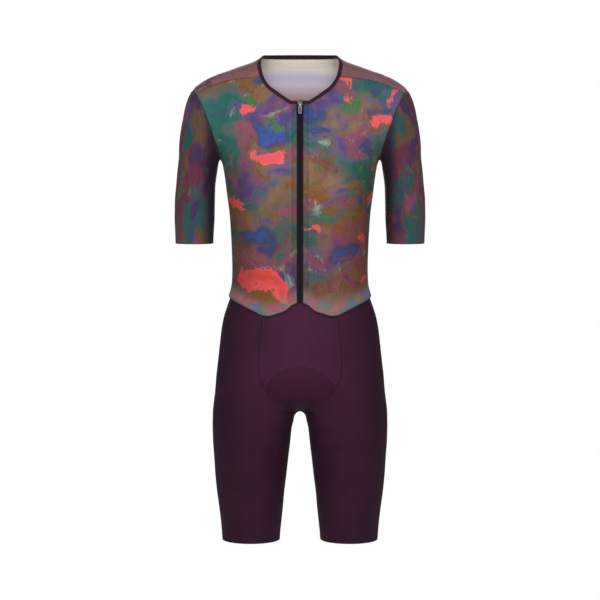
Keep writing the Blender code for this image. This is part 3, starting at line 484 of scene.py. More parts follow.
def shorts_lift(p):
    """The shorts' top edge is tucked in under the jersey."""
    return SHORTS_TUCK * (1 - smooth_step(p[..., 2], *TUCK_Z))


def tape_lift(p):
    """The zip follows the jersey's edges."""
    return TAPE_LIFT - JERSEY_LIFT + jersey_lift(p)


# ---------------------------------------------------------------- all the seams

def neck_and_shoulder(s):
    """The neck seam from the zip round to the middle of the back, and the shoulder seam."""
    zip_end = straight([(ZIP_HALF, ZIP_NECK_Z)], -1)
    back_neck = ring(NECK_BACK_Z, (0, 0), 0, 90, 6)
    neck = curve_through(np.vstack([zip_end, seen(NECK_FRONT), back_neck]))
    in_front, behind = split_at(neck, 2, SHOULDER_START_Z)
    s["neck_front"] = along(in_front, N_NECK_FRONT)
    s["neck_back"] = along(behind, N_NECK_BACK)
    shoulder = curve_through(np.vstack([in_front[-1:], seen(SHOULDER_SEAM)]))
    s["shoulder"] = along(shoulder, N_SHOULDER)


def up_to_underarm(guides, underarm, segments):
    """A seam that runs up to the underarm point, with short steps where it bends into it."""
    low, bend = split_at(curve_through(np.vstack([guides, underarm])), 2, UNDERARM_BEND_Z)
    return join(along(low, segments), along(bend, N_UNDERARM_BEND))


def armhole_and_side(s):
    """The armhole's two stretches, the side seam, the sleeve's underarm seam and its hem."""
    corner = s["shoulder"][-1:]
    underarm = first_hit(*([UNDERARM_X, SIDE_Y, z] for z in UNDERARM_SEARCH))
    ridge = settle([SHOULDER_RIDGE])
    in_front = curve_through(np.vstack([underarm, seen(ARMHOLE_FRONT)[::-1], corner]))
    behind = curve_through(np.vstack([underarm, straight(ARMHOLE_BACK, 1)[::-1], ridge, corner]))
    s["armhole_front"] = along(in_front, N_ARMHOLE_FRONT, UNDERARM_CROWDING)
    s["armhole_back"] = along(behind, N_ARMHOLE_BACK, UNDERARM_CROWDING)

    heights = np.linspace(SIDE_HEM_Z, SIDE_TOP_Z, 8)
    widths = np.interp(heights, TORSO_CURVES[0], TORSO_CURVES[1][0])
    guides = settle(np.stack([widths, np.full_like(widths, SIDE_Y), heights], -1))
    s["side"] = up_to_underarm(guides, underarm, N_SIDE)
    s["underarm"] = up_to_underarm(limb_inside(ARM_CURVES, SLEEVE_HEM_Z, SIDE_TOP_Z), underarm,
                                   N_SLEEVE)
    s["sleeve_hem"] = limb_hem(ARM_CURVES, SLEEVE_HEM_Z, N_ARMHOLE_FRONT + N_ARMHOLE_BACK,
                               ARM_REACH)
    s["underarm"][0] = s["sleeve_hem"][0]


def jersey_hem_and_middles(s):
    """The jersey's hem, the front's edge along the zip and the middle of the back."""
    side_end = s["side"][:1]
    zip_foot = straight([(ZIP_HALF, ZIP_FOOT_Z)], -1)
    hem = curve_through(np.vstack([zip_foot, seen(JERSEY_HEM)[::-1], side_end]))
    s["hem_front"] = along(hem, N_NECK_FRONT + N_SHOULDER)
    share = np.linspace(0, 1, len(BACK_HEM_Z))
    hem = straight([(side_end[0, 0] * math.cos(t * math.pi / 2), z)
                    for t, z in zip(share[1:], BACK_HEM_Z[1:])], 1)
    hem = curve_through(np.vstack([side_end, hem]))
    hem[-1, 0] = 0
    s["hem_back"] = along(hem, N_NECK_BACK + N_SHOULDER)

    heights = np.linspace(ZIP_FOOT_Z, ZIP_NECK_Z, 60)
    s["zip"] = along(straight([(ZIP_HALF, z) for z in heights], -1),
                     N_SIDE + N_UNDERARM_BEND + N_ARMHOLE_FRONT)
    heights = np.linspace(BACK_HEM_Z[-1], NECK_BACK_Z, 60)
    s["centre_back"] = along(straight([(0, z) for z in heights], 1),
                             N_SIDE + N_UNDERARM_BEND + N_ARMHOLE_BACK)
    s["centre_back"][0], s["centre_back"][-1] = s["hem_back"][-1], s["neck_back"][-1]


def waist_arc(start, end, segments):
    """The shorts' top edge between the directions of two points."""
    start, end = (math.degrees(math.atan2(p[1], p[0])) for p in (start, end))
    return ring(WAIST_Z, (0, 0), start, end, segments)


def shorts_seams(s):
    """The seams round both centre panels, the inseam, the leg hem and the top edge.

    The front seam is sampled in two stretches, with the pad's step between them.
    """
    crotch = first_hit([0, CROTCH_Y, CROTCH_POINT_Z], [60, CROTCH_Y, CROTCH_POINT_Z])
    waist_front = straight([(FRONT_WAIST_X, WAIST_Z)], -1)
    waist_back = straight([(SEAT_WAIST_X, WAIST_Z)], 1)
    front = curve_through(np.vstack([crotch, seen(FRONT_SEAM), waist_front]))
    at_pad, above = split_at(front, 2, PAD_ARCH_END_Z)
    above = along(above, 400)
    step = int(np.abs(np.linalg.norm(above - above[0], axis=1) - RELIEF_STEP).argmin())
    s["pad_seam"] = along(at_pad, N_PAD_SEAM)
    s["front_seam"] = along(above[step:], N_FRONT_SEAM - 1)
    seat = curve_through(np.vstack([crotch, straight(SEAT_SEAM, 1), waist_back]))
    low, high = split_at(seat, 2, PAD_ARCH_END_Z)
    s["seat_seam"] = join(along(low, N_PAD_SEAM), along(high, N_FRONT_SEAM))

    across = [first_hit(*([x, CROTCH_Y, z] for z in CROTCH_SEARCH)) for x in (0, 4, 8)]
    s["crotch_seam"] = along(curve_through(np.vstack(across + [crotch])), N_HALF_CENTRE)
    guides = limb_inside(LEG_CURVES, LEG_HEM_Z, INSEAM_TOP_Z)
    s["inseam"] = along(curve_through(np.vstack([guides, crotch])), N_INSEAM)
    s["leg_hem"] = limb_hem(LEG_CURVES, LEG_HEM_Z, N_LEG_ROUND, LEG_REACH)
    s["inseam"][0] = s["leg_hem"][0]
    s["waist_front"] = waist_arc([0, -1, 0], s["front_seam"][-1], N_HALF_CENTRE)
    s["waist_side"] = waist_arc(s["front_seam"][-1], s["seat_seam"][-1], N_LEG_ROUND)
    s["waist_back"] = waist_arc([0, 1, 0], s["seat_seam"][-1], N_HALF_CENTRE)


@functools.cache
def seams():
    """Every seam of the wearer's left half, sampled once and shared by the panels it joins."""
    s = {}
    neck_and_shoulder(s)
    armhole_and_side(s)
    jersey_hem_and_middles(s)
    shorts_seams(s)
    return s


# ---------------------------------------------------------------- each piece's net

def front_net(s):
    return net(s["hem_front"], join(s["neck_front"], s["shoulder"]), s["zip"],
               join(s["side"], s["armhole_front"]))


def back_net(s):
    return net(s["hem_back"][::-1], join(s["neck_back"][::-1], s["shoulder"]), s["centre_back"],
               join(s["side"], s["armhole_back"]))


def sleeve_net(s):
    return net(s["sleeve_hem"], join(s["armhole_front"], s["armhole_back"][::-1]),
               s["underarm"], s["underarm"])


def leg_net(s):
    in_front = np.vstack([join(s["inseam"], s["pad_seam"]), s["front_seam"]])
    return net(s["leg_hem"], s["waist_side"], in_front, join(s["inseam"], s["seat_seam"]))


def front_centre_net(s):
    """The centre front panel: a net over the pad and one above it, with the step between."""
    arch_end, above_end = s["pad_seam"][-1:], s["front_seam"][:1]
    arch = curve_through(np.vstack([seen(PAD_ARCH), arch_end]))
    raised = [(x, z + RELIEF_STEP) for x, z in PAD_ARCH]
    above = curve_through(np.vstack([seen(raised), above_end]))
    low_middle = middle_line(s["crotch_seam"][0], arch[0], N_PAD_SEAM)
    high_middle = middle_line(above[0], s["waist_front"][0], N_FRONT_SEAM - 1)
    low = net(s["crotch_seam"], along(arch, N_HALF_CENTRE), low_middle, s["pad_seam"])
    high = net(along(above, N_HALF_CENTRE), s["waist_front"], high_middle, s["front_seam"])
    return np.concatenate([low, high])


def seat_net(s):
    low_back = straight([(0, PAD_ARCH_END_Z)], 1)[0]
    middle = join(middle_line(s["crotch_seam"][0], low_back, N_PAD_SEAM),
                  middle_line(low_back, s["waist_back"][0], N_FRONT_SEAM))
    return net(s["crotch_seam"], s["waist_back"], middle, s["seat_seam"])


def binding_net(s):
    """A band up from the neck seam, whose columns run from the middle of the back to the zip."""
    edge = np.vstack([s["neck_front"][:-1], s["neck_back"]])[::-1]
    rows = [edge]
    for _ in range(2):
        here = rows[-1]
        across = np.cross(np.gradient(here, axis=0), outward(here))
        across /= np.linalg.norm(across, axis=1, keepdims=True)
        across[[0, -1], 0] = 0
        moved = settle(here + across * BINDING_WIDTH / 2, 3)
        moved[0, 0], moved[-1, 0] = 0, ZIP_HALF
        rows.append(moved)
    behind = smooth_step(np.arange(len(edge)), N_NECK_BACK + 1, N_NECK_BACK - 3)[:, None]
    rows[0] = settle(edge + (edge - rows[1]) / BINDING_WIDTH * 2 * BINDING_BEHIND * behind, 3)
    rows[0][0, 0] = 0
    return np.stack(rows)


def tape_net():
    heights = np.linspace(ZIP_BOTTOM_Z, ZIP_TOP_Z, N_TAPE + 1)
    return np.stack([straight([(x, z) for z in heights], -1) for x in (0, ZIP_HALF)], axis=1)


def pad_net(s):
    """The seat pad's upper face: one net from its front end, through the crotch, to its back."""
    front, back = straight([(0, PAD_FRONT_Z)], -1)[0], straight([(0, PAD_BACK_Z)], 1)[0]
    bottom = s["crotch_seam"][0]
    half = PAD_ROWS // 2
    spine = join(middle_line(front, bottom, half), middle_line(bottom, back, half))
    share = np.linspace(0, 1, PAD_ROWS + 1)
    half_widths = np.interp(share, *np.array(PAD_HALF_WIDTHS).T)
    columns = [spine]
    for _ in range(PAD_COLUMNS):
        step = half_widths[:, None] / PAD_COLUMNS
        spread = np.cross(np.gradient(columns[-1], axis=0), outward(columns[-1]))
        spread *= np.sign(spread[:, :1]) / np.linalg.norm(spread, axis=1, keepdims=True)
        columns.append(settle(columns[-1] + spread * step, 3))
    return np.stack(columns, axis=1)


# ---------------------------------------------------------------- finer nets

def places(segments, near_start=True):
    """Fractional places along a row of points, closer together near its sewn ends."""
    even = np.linspace(0, segments, segments * FINER + 1)
    near = np.array(NEAR_EDGE)
    start = near if near_start else []
    return np.unique(np.concatenate([even, start, segments - near]).round(6))


def weights(count, breaks, at):
    """Weights that read a smooth curve through count points; it may turn a corner at breaks."""
    corners = [0, *breaks, count - 1]
    table = np.zeros((len(at), count))
    for row, place in zip(table, at):
        i = min(int(place), count - 2)
        f = place - i
        before, here = (-f + 2 * f**2 - f**3) / 2, 1 - 2.5 * f**2 + 1.5 * f**3
        there, after = (f + 4 * f**2 - 3 * f**3) / 2, (f**3 - f**2) / 2
        if i in corners:
            here, there = here + 2 * before, there - before
        else:
            row[i - 1] += before
        if i + 1 in corners:
            there, here = there + 2 * after, here - after
        else:
            row[i + 2] += after
        row[i] += here
        row[i + 1] += there
    return table


def fine_net(grid, row_breaks=(), column_breaks=(), halves=False, laid=True):
    """A net made finer on the figure. With halves, it starts on the suit's middle line."""
    rows, columns = grid.shape[:2]
    up = weights(rows, row_breaks, places(rows - 1))
    across = weights(columns, column_breaks, places(columns - 1, near_start=not halves))
    fine = np.einsum("ri,ijk,cj->rck", up, grid, across)
    if laid:
        fine = settle(fine, 3)
    if halves:
        fine[:, 0, 0] = 0
        fine = np.concatenate([mirror(fine[:, :0:-1]), fine], axis=1)
    return fine


def fine_line(points, breaks=()):
    """A seam's few points as a fine line on the figure, as the panels beside it have it."""
    at = np.linspace(0, len(points) - 1, (len(points) - 1) * FINER * 2 + 1)
    return settle(weights(len(points), breaks, at) @ points, 3)


def edge_distances(net):
    """How far each point lies from the net's four edges, along the net's own lines."""
    up = np.linalg.norm(np.diff(net, axis=0, prepend=net[:1]), axis=2).cumsum(axis=0)
    across = np.linalg.norm(np.diff(net, axis=1, prepend=net[:, :1]), axis=2).cumsum(axis=1)
    return {"bottom": up, "top": up[-1:] - up, "left": across, "right": across[:, -1:] - across}


def hem_shade(net):
    """1 where the jersey's loose hem crosses the shorts, 0 from a few mm away: the share of its
    painted shade.
    """
    s = seams()
    hem = np.vstack([fine_line(s["hem_front"]), fine_line(s["hem_back"])])
    near = np.stack([np.abs(net[..., 0]), net[..., 1], net[..., 2]], -1)
    gap = np.min([np.linalg.norm(near - point, axis=-1) for point in hem], axis=0)
    return 1 - smooth_step(gap, *HEM_SHADE)


def soft_folds(net, table):
    """How far the table's soft troughs (negative) and ridges move each point, in mm."""
    total = np.zeros(net.shape[:-1])
    for start, end, width, height in table:
        start, end = np.array(start, float), np.array(end, float)
        run = end - start
        share = np.clip(((net - start) @ run) / (run @ run), 0, 1)
        gap = np.linalg.norm(net - (start + share[..., None] * run), axis=-1)
        total += height * np.exp(-(gap / width) ** 2) * np.sin(math.pi * np.clip(share, 0.02, 0.98))
    return bpy.context.scene.aerosuit_cloth.fold_strength * total


# ---------------------------------------------------------------- panels

def rounded(distance, radius):
    """How far an edge's quarter round falls away at this distance in from it."""
    inside = radius - np.minimum(distance, radius)
    return radius - np.sqrt(radius**2 - inside**2)


def closed_mesh(name, outer, inner, normals, materials):
    """A panel's outer and inner points as one closed mesh; a second material goes inside."""
    rows, columns = outer.shape[:2]
    count = rows * columns
    index = np.arange(count).reshape(rows, columns)
    quads = np.stack([index[:-1, :-1], index[:-1, 1:], index[1:, 1:], index[1:, :-1]], -1)
    quads = quads.reshape(-1, 4)
    rim = np.concatenate([index[0], index[1:, -1], index[-1, -2::-1], index[-2:0:-1, 0]])
    points = outer.reshape(-1, 3)
    a, b, c = quads[len(quads) // 2, :3]
    if np.cross(points[b] - points[a], points[c] - points[b]) @ normals.reshape(-1, 3)[a] < 0:
        quads, rim = quads[:, ::-1], rim[::-1]
    following = np.roll(rim, -1)
    band = np.stack([following, rim, rim + count, following + count], -1)
    faces = np.concatenate([quads, quads[:, ::-1] + count, band])

    mesh = bpy.data.meshes.new(name)
    points = np.concatenate([points, inner.reshape(-1, 3)]) * MM
    mesh.from_pydata(points.tolist(), [], faces.tolist())
    for mat in materials:
        mesh.materials.append(mat)
    side = np.zeros(len(faces), np.int32)
    side[len(quads):2 * len(quads)] = len(materials) - 1
    mesh.polygons.foreach_set("material_index", side)
    mesh.shade_smooth()
    return mesh


def shell(name, net, lift, edges, thick, extra=0.0, radius=EDGE_ROUND, materials=()):
    """One thin cloth panel as a closed mesh object.

    edges says what each side of the net is: "seam" is sewn and pressed in, "hem" is a free
    rounded edge. lift gives the outer face's height above the figure, and extra is added to it.
    """
    depth = bpy.context.scene.aerosuit_cloth.seam_depth / MM
    distance = edge_distances(net)
    normals = outward(net)
    height = lift(net) + extra
    to_seam, to_hem = ([distance[side] for side in edges if edges[side] == kind]
                       for kind in ("seam", "hem"))
    for gap in to_seam:
        height = height - depth * np.exp(-(gap / GROOVE_WIDTH) ** 2)
    fall = np.max([rounded(gap, radius) for gap in distance.values()], axis=0)
    outer = net + normals * (height - fall)[..., None]
    inner = net + normals * (height - thick + fall)[..., None]
    mesh = closed_mesh(name, outer, inner, normals, materials)

    across = distance["left"] - distance["left"][:, net.shape[1] // 2, None]
    put_uv(mesh, np.stack([across, distance["bottom"]], -1).reshape(-1, 2) * MM)
    for key, gaps in (("seam_distance", to_seam), ("hem_distance", to_hem)):
        put_attribute(mesh, key, np.min([NO_EDGE + 0 * across, *gaps], axis=0))
    return link_new(name, mesh)


def put_uv(mesh, uv):
    """The cloth's own coordinates in metres, for the outer face and again for the inner one."""
    layer = mesh.uv_layers.new(name="cloth")
    corners = np.empty(len(mesh.loops), np.int32)
    mesh.loops.foreach_get("vertex_index", corners)
    layer.data.foreach_set("uv", uv[corners % len(uv)].ravel())


def put_attribute(mesh, name, values):
    """A number for each point of the outer face, repeated for the inner one."""
    layer = mesh.attributes.new(name, "FLOAT", "POINT")
    values = np.asarray(values, float).ravel()
    layer.data.foreach_set("value", np.tile(values, len(mesh.vertices) // len(values)))


def link_new(name, data):
    obj = bpy.data.objects.new(name, data)
    bpy.context.scene.collection.objects.link(obj)
    return obj


def belongs(obj, body, slot, *nodes):
    """Ties a finished piece to the frame: its body and the CAD nodes it stands for; slot, its
    finish, is not used.
    """
    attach(obj, body)
    if nodes:
        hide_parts(*nodes)


# ---------------------------------------------------------------- colours and nodes

MATH, MIX, RANGE = "ShaderNodeMath", "ShaderNodeMix", "ShaderNodeMapRange"
NOISE, VECTOR = "ShaderNodeTexNoise", "ShaderNodeVectorMath"
SMOOTH = {"interpolation_type": "SMOOTHSTEP"}
COLOUR = {"data_type": "RGBA", "out": 2}


def linear(colour):
    """Linear red, green, blue and alpha of an sRGB hex colour, or of a setting, linear already."""
    if not isinstance(colour, str):
        return (*colour, 1.0)
    parts = [int(colour[i:i + 2], 16) / 255 for i in (0, 2, 4)]
    return (*(c / 12.92 if c <= 0.04045 else ((c + 0.055) / 1.055) ** 2.4 for c in parts), 1.0)


def add(tree, kind, inputs=None, out=0, **settings):
    """Adds a node, sets or links its inputs by name or number, and returns one output."""
    made = tree.nodes.new(kind)
    for key, value in settings.items():
        setattr(made, key, value)
    for key, value in (inputs or {}).items():
        if isinstance(value, bpy.types.NodeSocket):
            tree.links.new(value, made.inputs[key])
        else:
            made.inputs[key].default_value = value
    return made.outputs[out] if made.outputs else None


def new_material(name, roughness, **fixed):
    """A Principled material and its tree. fixed goes on the shader's own sockets."""
    mat = bpy.data.materials.new(name)
    mat.use_nodes = True
    shader = mat.node_tree.nodes["Principled BSDF"]
    shader.inputs["Roughness"].default_value = roughness
    for key, value in fixed.items():
        shader.inputs[key.replace("_", " ")].default_value = value
    return mat, mat.node_tree


def finish(mat, colour, rough=None, relief=None, depth=0.0):
    """Links a material's colour and, where they vary, its roughness and relief (depth in mm)."""
    tree = mat.node_tree
    shader = tree.nodes["Principled BSDF"].inputs
    tree.links.new(colour, shader["Base Color"])
    if rough is not None:
        tree.links.new(rough, shader["Roughness"])
    if relief is not None:
        bump = add(tree, "ShaderNodeBump", {"Distance": depth * MM, "Height": relief})
        tree.links.new(bump, shader["Normal"])
    return mat


def clouded(tree, size, dark, light, low=0.35, high=0.65, detail=3.0):
    """Two tones of one finish in soft clouds, size in mm, and the clouds themselves."""
    place = add(tree, "ShaderNodeTexCoord", out=3)
    cloud = add(tree, NOISE, {"Vector": place, "Scale": 1000 / size, "Detail": detail})
    share = add(tree, RANGE, {0: cloud, 1: low, 2: high})
    return add(tree, MIX, {0: share, 6: linear(dark), 7: linear(light)}, **COLOUR), cloud


def aside_and_height(tree):
    """How far each place lies from the suit's middle line, and its height, in metres."""
    parts = add(tree, "ShaderNodeSeparateXYZ", {0: add(tree, "ShaderNodeTexCoord", out=3)})
    return add(tree, MATH, {0: parts}, operation="ABSOLUTE"), parts.node.outputs[2]


# ---------------------------------------------------------------- cloth

# A race knit has about 28 wales to the centimetre. They are drawn three to four times too
# coarse, because nothing finer would show even close up. Sizes are in mm.
WALE, COURSE, KNIT_RELIEF = 1.3, 1.1, 0.05
PRINT_ROUGH, SLEEVE_ROUGH = 0.62, 0.6
HEM_DYE, HEM_DYE_WIDTH = "27494A", 2.6
BRISTLES = (230, 230, 44)      # marks to the metre: some 4 mm apart, 23 mm long
SWIRL, RIPPLE = 90.0, 16.0     # how far across the pulls are that move the wet dye about


def ribs(tree, run, size):
    """Even ribs along one run of the cloth's own coordinates, size in mm."""
    turns = add(tree, MATH, {0: run, 1: 2 * math.pi / (size * MM)}, operation="MULTIPLY")
    return add(tree, MATH, {0: turns}, operation="SINE")


def knit_surface(mat, colour, rough, streak=0.07, groove=0.66, spread=3.0):
    """Finishes a knit: its colour with painted light and shade by ribs, pressed seams and folds,
    soft streaks, and its bump.

    groove is how dark the painted shade in a sewn seam gets, and spread how wide that reaches, in
    mm.
    """
    tree = mat.node_tree
    uv = add(tree, "ShaderNodeUVMap", uv_map="cloth")
    runs = add(tree, "ShaderNodeSeparateXYZ", {0: uv}).node.outputs
    knit = add(tree, MATH, {0: ribs(tree, runs[0], WALE), 1: ribs(tree, runs[1], COURSE)},
               operation="ADD")

    # yarns differ slightly, which shows as soft streaks some 3 mm wide along the wales
    drawn = add(tree, "ShaderNodeMapping", {"Vector": uv, "Scale": (330, 18, 1)})
    yarn = add(tree, NOISE, {"Vector": drawn, "Scale": 1.0, "Detail": 3.0})
    shade = add(tree, MATH, {0: yarn, 1: 2 * streak, 2: 1 - streak}, operation="MULTIPLY_ADD")
    # faint painted light and shade along the ribs
    shade = add(tree, MATH, {0: knit, 1: 0.02, 2: shade}, operation="MULTIPLY_ADD")

    # painted shade in the groove of a sewn seam and the trough of a fold, painted light on a fold's
    # ridge
    seam = add(tree, "ShaderNodeAttribute", out=2, attribute_name="seam_distance")
    pressed = add(tree, RANGE, {0: seam, 1: 0.2, 2: spread, 3: groove, 4: 1.0}, **SMOOTH)
    fold = add(tree, "ShaderNodeAttribute", out=2, attribute_name="fold_height")
    fold = add(tree, RANGE, {0: fold, 1: -1.6, 2: 1.0, 3: 0.8, 4: 1.12})
    for part in (pressed, fold):
        shade = add(tree, MATH, {0: shade, 1: part}, operation="MULTIPLY")
    shaded = add(tree, VECTOR, {0: colour, 3: shade}, operation="SCALE")

    worn = add(tree, MATH, {0: yarn, 1: 0.16, 2: rough - 0.08}, operation="MULTIPLY_ADD")
    relief = add(tree, MATH, {0: yarn, 1: 0.8, 2: knit}, operation="MULTIPLY_ADD")
    return finish(mat, shaded, worn, relief, KNIT_RELIEF)


def brushed_place(tree, stretch, wander, jitter):
    """Object coordinates pulled about as wet dye is, by wander and jitter in mm, and stretched."""
    place = add(tree, "ShaderNodeTexCoord", out=3)
    for reach, size in ((wander, SWIRL), (jitter, RIPPLE)):
        pull = add(tree, NOISE, {"Vector": place, "Scale": 1000 / size, "Detail": 2.0}, out=1)
        pull = add(tree, VECTOR, {0: pull, 1: (0.5, 0.5, 0.5)}, operation="SUBTRACT")
        pull = add(tree, VECTOR, {0: pull, 3: reach * MM}, operation="SCALE")
        place = add(tree, VECTOR, {0: place, 1: pull}, operation="ADD")
    return add(tree, VECTOR, {0: place, 1: stretch}, operation="MULTIPLY")


def dry_brush(tree, place, marks=BRISTLES, lean=0.35):
    """The marks of the brush's bristles, as a value round one half. lean turns the strokes."""
    drawn = add(tree, "ShaderNodeMapping", {"Vector": place, "Scale": marks,
                                            "Rotation": (0.0, lean, 0.0)})
    return add(tree, NOISE, {"Vector": drawn, "Scale": 1.0, "Detail": 3.0, "Roughness": 0.6})


def patches(tree, place, bristles, ground, layers):
    """Patches of colour laid over the ground in turn, their edges torn by the brush.

    A layer is its colour, its patches' size in mm, the noise level above which it shows (0.5
    would cover half of the cloth), how soft its edge is, how torn it is, and a shift that gives
    it its own layout.
    """
    colour = ground
    for tint, size, level, soft, torn, shift in layers:
        own = add(tree, VECTOR, {0: place, 1: (shift, -0.7 * shift, 1.3 * shift)}, operation="ADD")
        field = add(tree, NOISE, {"Vector": own, "Scale": 1000 / size, "Detail": 3.0,
                                  "Roughness": 0.5})
        field = add(tree, MATH, {0: bristles, 1: torn, 2: field}, operation="MULTIPLY_ADD")
        level += torn / 2
        share = add(tree, RANGE, {0: field, 1: level - soft, 2: level + soft}, **SMOOTH)
        colour = add(tree, MIX, {0: share, 6: colour, 7: linear(tint)}, **COLOUR)
    return colour


def brushed_light(tree, bristles, colour, strength=0.16):
    """A colour with the brush's light and dark marks in it."""
    level = add(tree, RANGE, {0: bristles, 1: 0.3, 2: 0.7, 3: 1 - strength, 4: 1 + strength})
    return add(tree, VECTOR, {0: colour, 3: level}, operation="SCALE")


def hem_tint(tree, colour):
    """A darker green dye along the free hem, paler towards the middle of the front."""
    near = add(tree, "ShaderNodeAttribute", out=2, attribute_name="hem_distance")
    share = add(tree, RANGE, {0: near, 1: HEM_DYE_WIDTH - 0.8, 2: HEM_DYE_WIDTH + 0.8, 3: 1.0,
                              4: 0.0}, **SMOOTH)
    aside, _ = aside_and_height(tree)
    outer = add(tree, RANGE, {0: aside, 1: 0.085, 2: 0.12, 3: 0.25, 4: 1.0}, **SMOOTH)
    share = add(tree, MATH, {0: share, 1: outer}, operation="MULTIPLY")
    return add(tree, MIX, {0: share, 6: colour, 7: linear(HEM_DYE)}, **COLOUR)


def printed_jersey_knit():
    """Polyester warp knit, dye printed: matt, its colours sunk into the yarn, faint sheen."""
    dyes = bpy.context.scene.aerosuit_print
    mat, tree = new_material("printed_polyester_knit", PRINT_ROUGH, Specular_IOR_Level=0.16,
                             Sheen_Weight=0.03, Sheen_Roughness=0.4)
    size = dyes.patch_size / MM
    place = brushed_place(tree, (1.0, 1.0, 1.45), 0.85 * size, 8.0)
    bristles = dry_brush(tree, place)
    colour = patches(tree, place, bristles, linear(dyes.ground), (
        (dyes.tan, 1.2 * size, 0.48, 0.10, 0.15, 0.31),
        (dyes.ochre, 1.1 * size, 0.52, 0.09, 0.15, 9.41),
        (dyes.grey_teal, 1.2 * size, 0.53, 0.07, 0.14, 1.73),
        (dyes.teal, 1.2 * size, 0.57, 0.06, 0.14, 1.73),
        (dyes.lilac, 1.0 * size, 0.575, 0.06, 0.14, 2.91),
        (dyes.purple, 1.0 * size, 0.61, 0.05, 0.14, 2.91),
        (dyes.mauve, 0.8 * size, 0.59, 0.07, 0.16, 4.17),
        (dyes.indigo, 0.8 * size, 0.61, 0.06, 0.16, 5.39),
        (dyes.blue, 0.8 * size, 0.665, 0.04, 0.16, 5.39),
        (dyes.mint, 0.5 * size, 0.70, 0.09, 0.2, 6.05),
        (dyes.green, 0.5 * size, 0.69, 0.06, 0.2, 7.77),
        (dyes.coral, 1.2 * size, 0.613, 0.014, 0.08, 12.6),
        (dyes.orange, 1.2 * size, 0.66, 0.06, 0.1, 12.6)))
    colour = brushed_light(tree, bristles, colour)

    # painted shade: the colour is made darker and a little browner towards the waist and the side
    # seams
    aside, height = aside_and_height(tree)
    waist = add(tree, RANGE, {0: height, 1: -0.17, 2: -0.42}, **SMOOTH)
    side = add(tree, RANGE, {0: aside, 1: 0.062, 2: 0.135}, **SMOOTH)
    below = add(tree, RANGE, {0: height, 1: -0.13, 2: -0.26}, **SMOOTH)
    side = add(tree, MATH, {0: side, 1: below}, operation="MULTIPLY")
    for share, tint in ((waist, "E6D6D4"), (side, "CCC8B4")):
        colour = add(tree, MIX, {0: share, 6: colour, 7: linear(tint)}, blend_type="MULTIPLY",
                     **COLOUR)

    # a darker strip beside the zip over its facing, with a line of painted shade at the facing's
    # stitched edge
    strip = add(tree, RANGE, {0: aside, 1: 0.0145, 2: 0.016, 3: 0.8, 4: 1.0}, **SMOOTH)
    edge = add(tree, MATH, {0: aside, 1: 0.0155, 2: 0.0012}, operation="COMPARE")
    edge = add(tree, MATH, {0: edge, 1: -0.22, 2: strip}, operation="MULTIPLY_ADD")
    colour = add(tree, VECTOR, {0: colour, 3: edge}, operation="SCALE")

    # above the front hem the print breaks up into small paler patches, torn off by the brush
    hem = add(tree, "ShaderNodeAttribute", out=2, attribute_name="hem_distance")
    pale = patches(tree, place, bristles, linear("8E7A64"), (
        ("A45A6C", 48, 0.48, 0.08, 0.14, 3.3), ("4F7876", 44, 0.55, 0.07, 0.14, 8.1),
        ("66699C", 40, 0.58, 0.07, 0.14, 6.7), ("62805C", 36, 0.61, 0.06, 0.14, 4.9)))
    above = add(tree, MATH, {0: bristles, 1: 26.0, 2: hem}, operation="MULTIPLY_ADD")
    above = add(tree, RANGE, {0: above, 1: 20.0, 2: 50.0, 3: 0.75, 4: 0.0}, **SMOOTH)
    colour = add(tree, MIX, {0: above, 6: colour, 7: pale}, **COLOUR)
    return knit_surface(mat, hem_tint(tree, colour), PRINT_ROUGH)


def shoulder_knit():
    """The same knit in one warm dye that turns mauve towards the arms, with drawn-out streaks."""
    dyes = bpy.context.scene.aerosuit_print
    mat, tree = new_material("streaked_shoulder_knit", PRINT_ROUGH, Specular_IOR_Level=0.16,
                             Sheen_Weight=0.04, Sheen_Roughness=0.4)
    aside, height = aside_and_height(tree)
    outer = add(tree, RANGE, {0: aside, 1: 0.07, 2: 0.2}, **SMOOTH)
    low = add(tree, RANGE, {0: height, 1: -0.12, 2: -0.42}, **SMOOTH)
    colour = add(tree, MIX, {0: outer, 6: linear(dyes.shoulder), 7: linear(dyes.shoulder_outer)},
                 **COLOUR)
    colour = add(tree, MIX, {0: low, 6: colour, 7: linear(dyes.back_low)}, **COLOUR)
    drawn = brushed_place(tree, (1.0, 1.0, 0.3), 24.0, 5.0)
    bristles = dry_brush(tree, drawn)
    colour = patches(tree, drawn, bristles, colour, (
        ("8E5F58", 38, 0.56, 0.08, 0.15, 1.1), ("5E4650", 30, 0.61, 0.08, 0.15, 2.3),
        ("7A5F78", 46, 0.61, 0.08, 0.15, 3.7)))
    colour = brushed_light(tree, bristles, colour, 0.1)
    return knit_surface(mat, hem_tint(tree, colour), PRINT_ROUGH)


